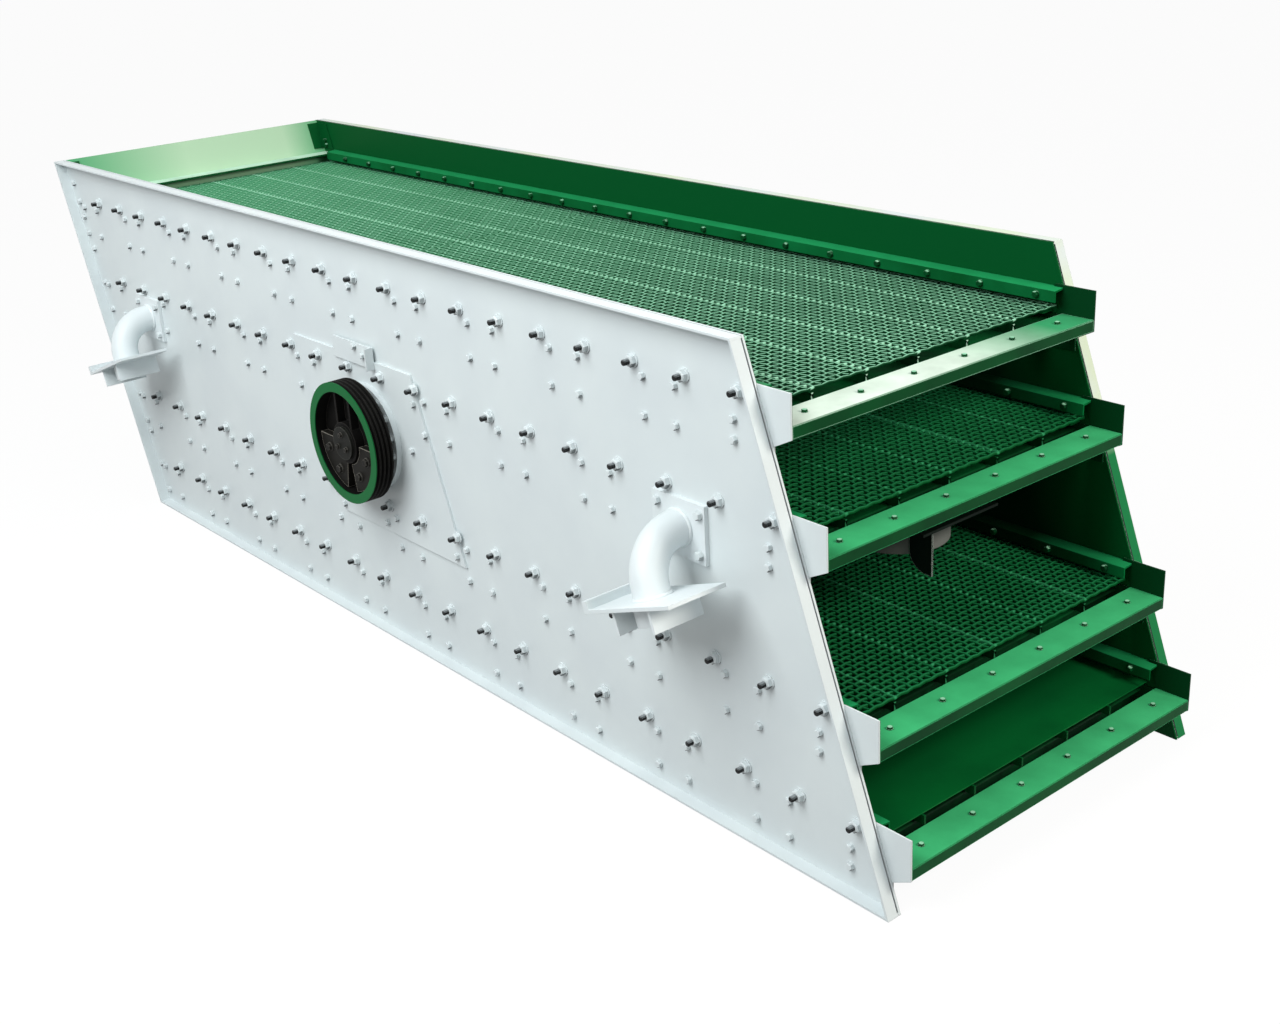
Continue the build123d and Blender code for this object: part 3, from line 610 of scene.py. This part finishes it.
def raised(add, sides_count, bottom, top, depth, base):
    """Tapered many-sided block standing on the height base."""
    size = {"Vertices": sides_count, "Radius Bottom": bottom, "Radius Top": top, "Depth": depth}
    shape = add("MeshCone", size)["Mesh"]
    lift = add("CombineXYZ", {"Z": base})[0]
    return add("Transform", {"Geometry": shape, "Translation": lift})[0]


def set_on_points(add, shape, points):
    """Stands a shape on each point along its axis attribute, each turned by its own seeded amount."""
    axis = add("InputNamedAttribute", {"Name": "axis"}, data_type="FLOAT_VECTOR")
    along = add("AlignRotationToVector", {"Vector": axis[0]}, axis="Z")[0]
    amount = add("RandomValue", {2: 0.0, 3: tau, "Seed": 7}, data_type="FLOAT")
    spin = add("AxisAngleToRotation", {"Axis": (0, 0, 1), "Angle": amount[1]})
    turn = add("RotateRotation", {"Rotation": along, "Rotate By": spin[0]}, rotation_space="LOCAL")[0]
    flat = add("SetShadeSmooth", {"Geometry": shape, "Shade Smooth": False})[0]
    return add("InstanceOnPoints", {"Points": points, "Instance": flat, "Rotation": turn})[0]


def head(flats, height, washer, thickness):
    """Values of the fastener tree for one size of nut or bolt head."""
    return {
        "Across flats": flats,
        "Head height": height,
        "Washer radius": washer,
        "Washer thickness": thickness,
    }


def fastener_tree():
    """Hex nut or bolt head with a chamfered top on a round washer."""
    tree, add, given = new_tree(
        "Hex fasteners", Points="Geometry", Across_flats="Float", Head_height="Float",
        Washer_radius="Float", Washer_thickness="Float", Material="Material",
    )
    corner = add("Math", (given["Across flats"], 1 / sqrt(3)), operation="MULTIPLY")[0]
    top = add("Math", (given["Across flats"], 0.48), operation="MULTIPLY")[0]
    straight = add("Math", (given["Head height"], 0.8), operation="MULTIPLY")[0]
    chamfer = add("Math", (given["Head height"], 0.2), operation="MULTIPLY")[0]
    shoulder = add("Math", (straight, given["Washer thickness"]))
    washer = raised(add, 14, given["Washer radius"], given["Washer radius"], given["Washer thickness"], 0.0)
    prism = raised(add, 6, corner, corner, straight, given["Washer thickness"])
    cap = raised(add, 6, corner, top, chamfer, shoulder[0])
    whole = add("JoinGeometry", {0: [washer, prism, cap]})[0]
    finish_tree(add, set_on_points(add, whole, given["Points"]), given["Material"])
    return tree


def stud_tree():
    """Round threaded end with a tapered tip."""
    tree, add, given = new_tree(
        "Studs", Points="Geometry", Radius="Float", Length="Float", Base="Float", Material="Material"
    )
    tip_radius = add("Math", (given["Radius"], 0.72), operation="MULTIPLY")[0]
    tip = add("Math", (given["Length"], 0.12), operation="MULTIPLY")[0]
    end = add("Math", (given["Base"], given["Length"]))[0]
    shank = raised(add, 12, given["Radius"], given["Radius"], given["Length"], given["Base"])
    taper = raised(add, 12, given["Radius"], tip_radius, tip, end)
    whole = add("JoinGeometry", {0: [shank, taper]})[0]
    finish_tree(add, set_on_points(add, whole, given["Points"]), given["Material"])
    return tree


def weave_tree():
    """Crimped wires over and under each other at every crossing of a flat grid."""
    tree, add, given = new_tree(
        "Woven wire", Points="Geometry", Length="Float", Width="Float", Pitch="Float", Wire="Float",
        Crimp="Float", Middle="Vector", Material="Material",
    )
    counts = []
    corners = []
    for size in ("Length", "Width"):
        share = add("Math", (given[size], given["Pitch"]), operation="DIVIDE")[0]
        count = add("FloatToInt", {0: share}, rounding_mode="ROUND")[0]
        counts.append(count)
        corners.append(add("Math", (count, 1.0))[0])
    extent = {"Size X": given["Length"], "Size Y": given["Width"]}
    extent |= {"Vertices X": corners[0], "Vertices Y": corners[1]}
    grid = add("MeshGrid", extent)[0]
    spot = add("SeparateXYZ", {0: add("InputPosition")[0]})
    steps = []
    for name, size, count in (("X", "Length", counts[0]), ("Y", "Width", counts[1])):
        part = add("Math", (spot[name], given[size]), operation="DIVIDE")[0]
        moved = add("Math", (part, 0.5))[0]
        step = add("Math", (moved, count), operation="MULTIPLY")[0]
        steps.append(add("Math", {0: step}, operation="ROUND")[0])
    total = add("Math", (steps[0], steps[1]))[0]
    odd = add("Math", (total, 2.0), operation="MODULO")[0]
    ends = add("InputMeshEdgeVertices")
    run = add("VectorMath", (ends["Position 1"], ends["Position 2"]), operation="SUBTRACT")[0]
    runs = add("SeparateXYZ", {0: run})
    radius = add("Math", (given["Wire"], 0.5), operation="MULTIPLY")[0]
    section = add("CurvePrimitiveCircle", {"Resolution": 6, "Radius": radius})[0]
    woven = []
    for name, rise in (("X", 1.0), ("Y", -1.0)):
        wave = add("MapRange", {0: odd, 3: -rise, 4: rise})[0]
        depth = add("Math", (radius, given["Crimp"]), operation="MULTIPLY")[0]
        height = add("Math", (wave, depth), operation="MULTIPLY")[0]
        offset = add("CombineXYZ", {"Z": height})[0]
        length = add("Math", {0: runs[name]}, operation="ABSOLUTE")[0]
        across = add("Compare", (length, 0.0001), operation="LESS_THAN")[0]
        picked = {"Geometry": grid, "Selection": across}
        lines = add("DeleteGeometry", picked, domain="EDGE", mode="EDGE_FACE")[0]
        crimped = add("SetPosition", {"Geometry": lines, "Offset": offset})[0]
        path = add("MeshToCurve", {"Mesh": crimped})[0]
        wires = {"Curve": path, "Profile Curve": section, "Fill Caps": True}
        woven.append(add("CurveToMesh", wires)[0])
    whole = add("JoinGeometry", {0: woven})[0]
    placed = add("Transform", {"Geometry": whole, "Translation": given["Middle"]})[0]
    finish_tree(add, placed, given["Material"])
    return tree


trees = {"Hex fasteners": fastener_tree, "Studs": stud_tree, "Woven wire": weave_tree}


def grow(name, kind, points, values, material, slot, body="screen_box"):
    """Runs a tree on (place, axis) points and keeps the result as one plain mesh riding on a body."""
    tree = bpy.data.node_groups.get(kind) or trees[kind]()
    values = {**values, "Material": bpy.data.materials[material]}
    mesh = bpy.data.meshes.new(name)
    mesh.from_pydata([place for place, axis in points], [], [])
    axes = mesh.attributes.new("axis", "FLOAT_VECTOR", "POINT")
    axes.data.foreach_set("vector", [part for place, axis in points for part in axis])
    piece = bpy.data.objects.new(name, mesh)
    bpy.context.scene.collection.objects.link(piece)
    modifier = piece.modifiers.new(tree.name, "NODES")
    modifier.node_group = tree
    for item in tree.interface.items_tree:
        if item.in_out == "INPUT" and item.name in values:
            modifier[item.identifier] = values[item.name]
    graph = bpy.context.evaluated_depsgraph_get()
    made = bpy.data.meshes.new_from_object(piece.evaluated_get(graph))
    piece.modifiers.clear()
    piece.data = made
    made.name = name
    if not made.polygons:
        raise RuntimeError(f"{name} came out empty")
    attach(piece, body)
    return piece


def add_strip(shape, outline, x0, x1):
    """Straight strip along X with the given outline of (y, z) points."""
    ends = [[shape.verts.new((x, y, z)) for y, z in outline] for x in (x0, x1)]
    for index in range(len(outline)):
        after = (index + 1) % len(outline)
        shape.faces.new((ends[0][index], ends[0][after], ends[1][after], ends[1][index]))
    shape.faces.new(ends[0])
    shape.faces.new(ends[1])


def bar_cap(y, base, width, height):
    """Outline of a rubber cap with chamfered shoulders."""
    half = width / 2
    shoulder = 0.3 * height
    top = base + height
    return [
        (y - half, base), (y + half, base), (y + half, top - shoulder),
        (y + half - shoulder, top), (y - half + shoulder, top), (y - half, top - shoulder),
    ]


class SIEVE_OT_meshes(bpy.types.Operator):
    """Cap the support bars of each upper deck with rubber and weave its two wire panels over them"""
    bl_idname = "sieve.meshes"
    bl_label = "Weave the decks"

    def execute(self, context):
        sizes = context.scene.sieve_sizes
        reach = inner_face - 0.014
        seam = 0.026
        feed_share = 0.48
        tail_drop = 0.036
        tail_width = 0.009
        tail_thickness = 0.003
        cap_inset = 0.06
        bar_lines = [bar_spacing * index for index in (-2, -1, 0, 1, 2)]
        for deck, pitch, wire, paint, cap in (
            ("deck1", sizes.top_pitch, sizes.wire, "worn_and_highlit_wire_enamel", "pale_cap_rubber"),
            ("deck2", sizes.middle_pitch, sizes.middle_wire, "shaded_wire_enamel", "shaded_cap_rubber"),
            ("deck3", sizes.lower_pitch, sizes.lower_wire, "shaded_wire_enamel", "shaded_cap_rubber"),
        ):
            bars_low, bars_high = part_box(f"{deck}_support_bars")
            low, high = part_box(f"{deck}_mesh")
            caps = bmesh.new()
            for y in bar_lines:
                outline = bar_cap(y, bars_high.z, sizes.cap_width, sizes.cap_height)
                add_strip(caps, outline, bars_low.x, high.x - cap_inset)
                tail = bar_cap(y, bars_high.z - tail_drop, tail_width, tail_drop)
                add_strip(caps, tail, bars_high.x, bars_high.x + tail_thickness)
            bmesh.ops.recalc_face_normals(caps, faces=caps.faces)
            keep_mesh(f"{deck}_bar_caps", caps, cap)
            middle = low.x + feed_share * (high.x - low.x)
            spans = ((low.x, middle - seam / 2), (middle + seam / 2, bars_high.x))
            height = bars_high.z + sizes.cap_height + wire / 2
            for label, (x0, x1) in zip(("feed", "discharge"), spans):
                values = {
                    "Length": x1 - x0, "Width": 2 * reach, "Pitch": pitch, "Wire": wire, "Crimp": 0.35,
                    "Middle": ((x0 + x1) / 2, 0.0, height),
                }
                name = f"{deck}_{label}_weave"
                piece = grow(name, "Woven wire", [((0, 0, 0), (0, 0, 1))], values, paint, "mesh_green")
                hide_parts(f"{deck}_mesh")
        return {"FINISHED"}


def clamp_places():
    """(x, z) of every clamp bolt along the four rows."""
    offsets = [first_clamp + index * clamp_pitch for index in range(clamp_count)]
    return [(feed_edge(row) + offset, row) for row in row_heights for offset in offsets]


class SIEVE_OT_clamp_nuts(bpy.types.Operator):
    """Set the clamp nuts, washers and threaded ends along the four rows of both plates"""
    bl_idname = "sieve.clamp_nuts"
    bl_label = "Clamp nuts"

    def execute(self, context):
        sizes = context.scene.sieve_sizes
        washer = 0.005
        nuts = head(sizes.clamp_flats, sizes.clamp_height, sizes.clamp_washer, washer)
        studs = {
            "Radius": sizes.stud_radius, "Length": sizes.stud_length, "Base": washer + sizes.clamp_height
        }
        for side, name in sides:
            points = []
            for x, z in clamp_places():
                points.append(((x, side * outside_face(x, z, sizes.clamp_flats), z), (0, side, 0)))
            detailed = f"{name}_clamp_nuts_detailed"
            piece = grow(detailed, "Hex fasteners", points, nuts, "fastener_enamel", "white_paint")
            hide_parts(f"{name}_clamp_nuts")
            grow(f"{name}_clamp_studs", "Studs", points, studs, "black_thread_steel", "plated_steel")
        return {"FINISHED"}


def frame_bolt_places():
    """(x, z) of the smaller bolts through the plates: beam feet, deck angles, cheeks and the feed end."""
    first_beam = 0.25
    second_beam = 0.85
    beam_pitch = 0.6
    foot_half = 0.094
    cheek_inset = 0.13
    beam_bolt_drops = (0.215, 0.053)
    cheek_bolt_drops = (0.113, 0.194)
    places = []
    for row in row_heights:
        beams = [first_beam] + [second_beam + beam_pitch * index for index in range(9)]
        for beam in beams:
            for across in (-foot_half, foot_half):
                for drop in beam_bolt_drops:
                    places.append((feed_edge(row) + beam + across, row - drop))
        for drop in cheek_bolt_drops:
            places.append((discharge_edge(row) - cheek_inset, row - drop))
    heights = [1.972, 1.861, 1.768]
    for row in row_heights[1:]:
        heights += [row + 0.156, row - 0.050]
    return places + [(feed_edge(z) + corner_inset, z) for z in heights]


# (x, z) of the bolts that hold the reinforcing plate and the bracket of the belt guard
pad_bolt_places = [(0.423, 1.344), (0.367, 1.095), (0.673, 0.630), (-0.369, 0.624), (0.053, 0.634)]
bracket_bolt_places = [(-0.060, 1.543), (0.015, 1.509), (0.071, 1.492)]


def under_support(x, z, margin):
    """Whether a place on the plate lies under the base plate of a support."""
    half_width = 0.155 + margin
    half_height = 0.125 + margin
    return any(abs(x - at) < half_width and abs(z - level) < half_height for at, level in support_spots())


class SIEVE_OT_frame_bolts(bpy.types.Operator):
    """Set the bolt heads of the beams, angles, cheeks and end plates on the outside of both plates"""
    bl_idname = "sieve.frame_bolts"
    bl_label = "Frame bolts"

    def execute(self, context):
        sizes = context.scene.sieve_sizes
        heads = head(sizes.bolt_flats, sizes.bolt_height, 0.6 * sizes.bolt_flats, 0.003)
        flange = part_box("drive_bearing_housing")[1].x - exciter_x
        bracket_plate = 0.010
        for side, name in sides:
            points = []
            for x, z in frame_bolt_places() + pad_bolt_places:
                beside_flange = hypot(x - exciter_x, z - exciter_z) > flange + sizes.bolt_flats
                if beside_flange and not under_support(x, z, sizes.bolt_flats / 2):
                    points.append(((x, side * outside_face(x, z, sizes.bolt_flats), z), (0, side, 0)))
            if name == "drive":
                bracket = -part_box("belt_guard_bracket")[1].y + bracket_plate
                points += [((x, -bracket, z), (0, -1, 0)) for x, z in bracket_bolt_places]
            grow(f"{name}_frame_bolts", "Hex fasteners", points, heads, "fastener_enamel", "white_paint")
        return {"FINISHED"}


class SIEVE_OT_inner_bolts(bpy.types.Operator):
    """Set the bolt heads inside the box: on the clamp rails, the feed corners and the discharge lips"""
    bl_idname = "sieve.inner_bolts"
    bl_label = "Inner bolts"

    def execute(self, context):
        heads = head(0.026, 0.014, 0.016, 0.003)
        rail_face = -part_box("drive_clamp_rails")[1].y
        corner_face = inner_face - 0.008
        points = []
        for side in (-1, 1):
            for x, z in clamp_places():
                points.append(((x, side * rail_face, z), (0, -side, 0)))
            for z in (1.972, 1.94):
                points.append(((feed_edge(z) + corner_inset, side * corner_face, z), (0, -side, 0)))
        grow("rail_bolts", "Hex fasteners", points, heads, "inner_bolt_enamel", "deck_green")
        lip_inset = 0.045
        lip_bolt_pitch = 0.3
        lip_heads = head(0.021, 0.009, 0.013, 0.002)
        points = []
        for name in decks("discharge_lip"):
            lip_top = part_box(name)[1].z
            for index in range(6):
                spot = (discharge_edge(lip_top) + lip_inset, (index - 2.5) * lip_bolt_pitch, lip_top)
                points.append((spot, (0, 0, 1)))
        grow("lip_bolts", "Hex fasteners", points, lip_heads, "inner_bolt_enamel", "lip_green")
        return {"FINISHED"}


def round_exciter(side, radius, turns, face):
    """Points on a circle about the exciter's axis that look outward."""
    points = []
    for turn in turns:
        x = exciter_x + radius * cos(turn)
        z = exciter_z + radius * sin(turn)
        points.append(((x, side * face, z), (0, side, 0)))
    return points


class SIEVE_OT_exciter_bolts(bpy.types.Operator):
    """Set the bolts of the bearing flanges, the wheel weights and the shaft end plates"""
    bl_idname = "sieve.exciter_bolts"
    bl_label = "Exciter bolts"

    def execute(self, context):
        flange = head(0.036, 0.02, 0.024, 0.004)
        plate = head(0.024, 0.012, 0.015, 0.003)
        weight = head(0.036, 0.016, 0.024, 0.004)
        flange_thickness = 0.030
        flange_circle = 0.238
        plate_circle = 0.045
        weight_circle = 0.185
        flange_turns = [tau * (index + 0.5) / 16 for index in range(16)]
        plate_turns = [tau * (index / 3 + 0.25) for index in range(3)]
        weight_turns = [radians(angle) for angle in (200, 240, 300, 340)]
        flange_points = []
        plate_points = []
        weight_points = []
        for side, name in sides:
            wheel = "pulley" if name == "drive" else "flywheel"
            end_face = max(abs(corner.y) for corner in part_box(f"{wheel}_end_plate"))
            weight_face = max(abs(corner.y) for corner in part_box(f"{wheel}_weights"))
            flange_points += round_exciter(side, flange_circle, flange_turns, pad_face + flange_thickness)
            plate_points += round_exciter(side, plate_circle, plate_turns, end_face)
            weight_points += round_exciter(side, weight_circle, weight_turns, weight_face)
        grow("flange_bolts", "Hex fasteners", flange_points, flange, "fastener_enamel", "white_paint")
        turning = ("dark_bolt_steel", "black_cast_iron", "rotor")
        grow("end_plate_bolts", "Hex fasteners", plate_points, plate, *turning)
        grow("weight_bolts", "Hex fasteners", weight_points, weight, *turning)
        return {"FINISHED"}


def keep_mesh(name, mesh_maker, material, body="screen_box"):
    """Keeps a bmesh as one piece riding on a body."""
    mesh = bpy.data.meshes.new(name)
    mesh_maker.to_mesh(mesh)
    mesh_maker.free()
    mesh.materials.append(bpy.data.materials[material])
    piece = bpy.data.objects.new(name, mesh)
    bpy.context.scene.collection.objects.link(piece)
    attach(piece, body)
    return piece


def skin_rings(shape, rings, closed=False):
    """Joins rings of points into a tube, smooth along and round."""
    made = [[shape.verts.new(point) for point in ring] for ring in rings]
    pairs = list(zip(made, made[1:]))
    if closed:
        pairs.append((made[-1], made[0]))
    for first, second in pairs:
        for index in range(len(first)):
            after = (index + 1) % len(first)
            face = shape.faces.new((first[index], first[after], second[after], second[index]))
            face.smooth = True


def circle(centre, along, radius, count):
    """Ring of points about a centre, square to a direction that lies across X."""
    across = Vector((1, 0, 0))
    up = across.cross(along)
    turns = [tau * index / count for index in range(count)]
    return [centre + radius * (cos(turn) * across + sin(turn) * up) for turn in turns]


def add_elbow(shape, place):
    """Smooth bent pipe with a weld bead at both ends, in the support's own frame, then put in place."""
    radius = 0.0768
    bend = 0.190
    start = 0.020
    end = 0.030
    bend_steps = 20
    around = 40
    bead_inset = 0.004
    bead_width = 0.008
    bead_height = 0.007
    bead_sides = 8
    parts = bmesh.new()
    rings = [circle(Vector((0, 0, 0)), Vector((0, -1, 0)), radius, around)]
    for step in range(bend_steps + 1):
        turn = pi / 2 * step / bend_steps
        centre = Vector((0, -start - bend * sin(turn), -bend + bend * cos(turn)))
        ahead = Vector((0, -cos(turn), -sin(turn)))
        rings.append(circle(centre, ahead, radius, around))
    rings.append(circle(Vector((0, -start - bend, -bend - end)), Vector((0, 0, -1)), radius, around))
    skin_rings(parts, rings)
    for centre, ahead in (
        (Vector((0, -bead_inset, 0)), Vector((0, -1, 0))),
        (Vector((0, -start - bend, -bend - end + bead_inset)), Vector((0, 0, -1))),
    ):
        bead = []
        for index in range(bead_sides):
            turn = tau * index / bead_sides
            middle = centre + bead_width * sin(turn) * ahead
            bead.append(circle(middle, ahead, radius + bead_height * cos(turn), around))
        skin_rings(parts, bead, closed=True)
    bmesh.ops.recalc_face_normals(parts, faces=parts.faces)
    bmesh.ops.transform(parts, matrix=place, verts=parts.verts)
    if place.determinant() < 0:
        bmesh.ops.reverse_faces(parts, faces=parts.faces)
    copy = bpy.data.meshes.new("elbow_part")
    parts.to_mesh(copy)
    parts.free()
    shape.from_mesh(copy)
    bpy.data.meshes.remove(copy)


def support_spots():
    """(x, z) where the bent pipes leave the plates."""
    z = row_heights[1] - 0.165
    inset = 0.680
    return [(feed_edge(z) + inset, z), (discharge_edge(z) - inset, z)]


class SIEVE_OT_supports(bpy.types.Operator):
    """Round off the four bent pipes of the spring supports and bolt their base plates"""
    bl_idname = "sieve.supports"
    bl_label = "Spring supports"

    def execute(self, context):
        base = 0.020
        bolt_spots = ((-0.12, 0.085), (0.125, 0.085), (0.125, -0.085), (-0.12, -0.085))
        shape = bmesh.new()
        points = []
        for side in (-1, 1):
            for x, z in support_spots():
                tilt = Matrix.Rotation(-working_slope, 4, "Y")
                place = Matrix.Translation((x, -plate_face - base, z)) @ tilt
                if side > 0:
                    place = Matrix.Scale(-1, 4, (0, 1, 0)) @ place
                add_elbow(shape, place)
                for across, up in bolt_spots:
                    points.append(((x + across, side * (plate_face + base), z + up), (0, side, 0)))
        keep_mesh("elbow_pipes", shape, "support_enamel")
        heads = head(0.034, 0.018, 0.021, 0.003)
        grow("support_bolts", "Hex fasteners", points, heads, "fastener_enamel", "white_paint")
        return {"FINISHED"}


def add_light(name, place, target, size, energy, colour):
    """Soft square light aimed at a point."""
    data = bpy.data.lights.new(name, "AREA")
    data.shape = "RECTANGLE"
    data.size, data.size_y = size
    data.energy = energy
    data.color = colour
    light = bpy.data.objects.new(name, data)
    bpy.context.scene.collection.objects.link(light)
    light.location = place
    aim = Vector(target) - Vector(place)
    light.rotation_euler = aim.to_track_quat("-Z", "Y").to_euler()


def white_when_seen(add):
    """One where a camera, mirror or glass ray looks, and nought for the light that reaches the object."""
    seen = add("LightPath")
    direct = add("Math", (seen["Is Camera Ray"], seen["Is Glossy Ray"]), operation="MAXIMUM")
    return add("Math", (direct[0], seen["Is Transmission Ray"]), operation="MAXIMUM")[0]


class SIEVE_OT_stage(bpy.types.Operator):
    """Set the pale floor, the soft lights and the camera"""
    bl_idname = "sieve.stage"
    bl_label = "Stage"

    def execute(self, context):
        scene = context.scene
        stage = scene.sieve_stage
        scene.view_settings.view_transform = "Standard"

        world = bpy.data.worlds.new("soft_sky")
        world.use_nodes = True
        world.node_tree.nodes.clear()
        add = partial(add_node, world.node_tree)
        seen = white_when_seen(add)
        strength = add("MapRange", {0: seen, 3: stage.sky, 4: 1.0})[0]
        sky = add("Background", {"Color": (1, 1, 1, 1), "Strength": strength})
        add("OutputWorld", {0: sky[0]})
        scene.world = world

        half = 120.0
        glow_share = 0.94
        corners = [(-half, -half, 0), (half, -half, 0), (half, half, 0), (-half, half, 0)]
        mesh = bpy.data.meshes.new("floor")
        mesh.from_pydata(corners, [], [(0, 1, 2, 3)])
        # Matt white floor that keeps a faint shadow and reads as white to the camera
        material, add = new_material("matt_white_floor")
        seen = white_when_seen(add)
        tone = coats(add, linear("#8C8C8C"), (seen, (1, 1, 1, 1)))
        chalk = add("BsdfDiffuse", {"Color": tone})
        glow = add("Emission", {"Color": (1, 1, 1, 1), "Strength": 1.0})
        share = add("Math", (seen, glow_share), operation="MULTIPLY")[0]
        mix = add("MixShader", (share, chalk[0], glow[0]))
        add("OutputMaterial", {"Surface": mix[0]})
        mesh.materials.append(material)
        floor = bpy.data.objects.new("floor", mesh)
        scene.collection.objects.link(floor)
        floor.location.z = cad_low.z - 0.001

        add_light("key", (0.7, -7.0, 8.2), (0, -0.9, 1.0), (7, 7), stage.key, (0.95, 0.99, 1.0))
        add_light("side", (9.5, 1.5, 6.0), (3.2, 0, 1.0), (2.5, 2.5), stage.side, (1.0, 0.96, 0.88))

        camera_place = (6.8376, -4.7829, 3.7337)
        data = bpy.data.cameras.new("camera")
        data.lens = stage.lens
        data.sensor_width = 36.0
        camera = bpy.data.objects.new("camera", data)
        scene.collection.objects.link(camera)
        turn, rise, roll = (radians(angle) for angle in (50.948, 22.074, -3.248))
        back = Vector((sin(turn) * cos(rise), -cos(turn) * cos(rise), sin(rise)))
        right = Vector((0, 0, 1)).cross(back).normalized()
        up = back.cross(right)
        rolled = cos(roll) * right + sin(roll) * up
        upright = cos(roll) * up - sin(roll) * right
        pose = Matrix((rolled, upright, back)).transposed().to_4x4()
        pose.translation = camera_place
        camera.matrix_world = pose
        scene.camera = camera
        return {"FINISHED"}


steps = (
    SIEVE_OT_stage,
    SIEVE_OT_paint,
    SIEVE_OT_meshes,
    SIEVE_OT_clamp_nuts,
    SIEVE_OT_frame_bolts,
    SIEVE_OT_inner_bolts,
    SIEVE_OT_exciter_bolts,
    SIEVE_OT_supports,
)


class SIEVE_PT_panel(bpy.types.Panel):
    """Steps that dress the sieve, in order"""
    bl_idname = "SIEVE_PT_panel"
    bl_label = "Vibrating sieve"
    bl_space_type = "VIEW_3D"
    bl_region_type = "UI"
    bl_category = "Sieve"

    def draw(self, context):
        for step in steps:
            self.layout.operator(step.bl_idname)
        for group in (context.scene.sieve_sizes, context.scene.sieve_finishes, context.scene.sieve_stage):
            box = self.layout.box()
            for name in group.bl_rna.properties.keys():
                if name not in ("rna_type", "name"):
                    box.prop(group, name)


classes = (SieveFinishes, SieveSizes, SieveStage, *steps, SIEVE_PT_panel)


def register():
    for entry in classes:
        bpy.utils.register_class(entry)
    bpy.types.Scene.sieve_finishes = bpy.props.PointerProperty(type=SieveFinishes)
    bpy.types.Scene.sieve_sizes = bpy.props.PointerProperty(type=SieveSizes)
    bpy.types.Scene.sieve_stage = bpy.props.PointerProperty(type=SieveStage)


def unregister():
    del bpy.types.Scene.sieve_finishes
    del bpy.types.Scene.sieve_sizes
    del bpy.types.Scene.sieve_stage
    for entry in reversed(classes):
        bpy.utils.unregister_class(entry)


def main():
    register()
    bpy.ops.sieve.stage()
    bpy.ops.sieve.paint()
    bpy.ops.sieve.meshes()
    bpy.ops.sieve.clamp_nuts()
    bpy.ops.sieve.frame_bolts()
    bpy.ops.sieve.inner_bolts()
    bpy.ops.sieve.exciter_bolts()
    bpy.ops.sieve.supports()


if __name__ == "__main__":
    main()
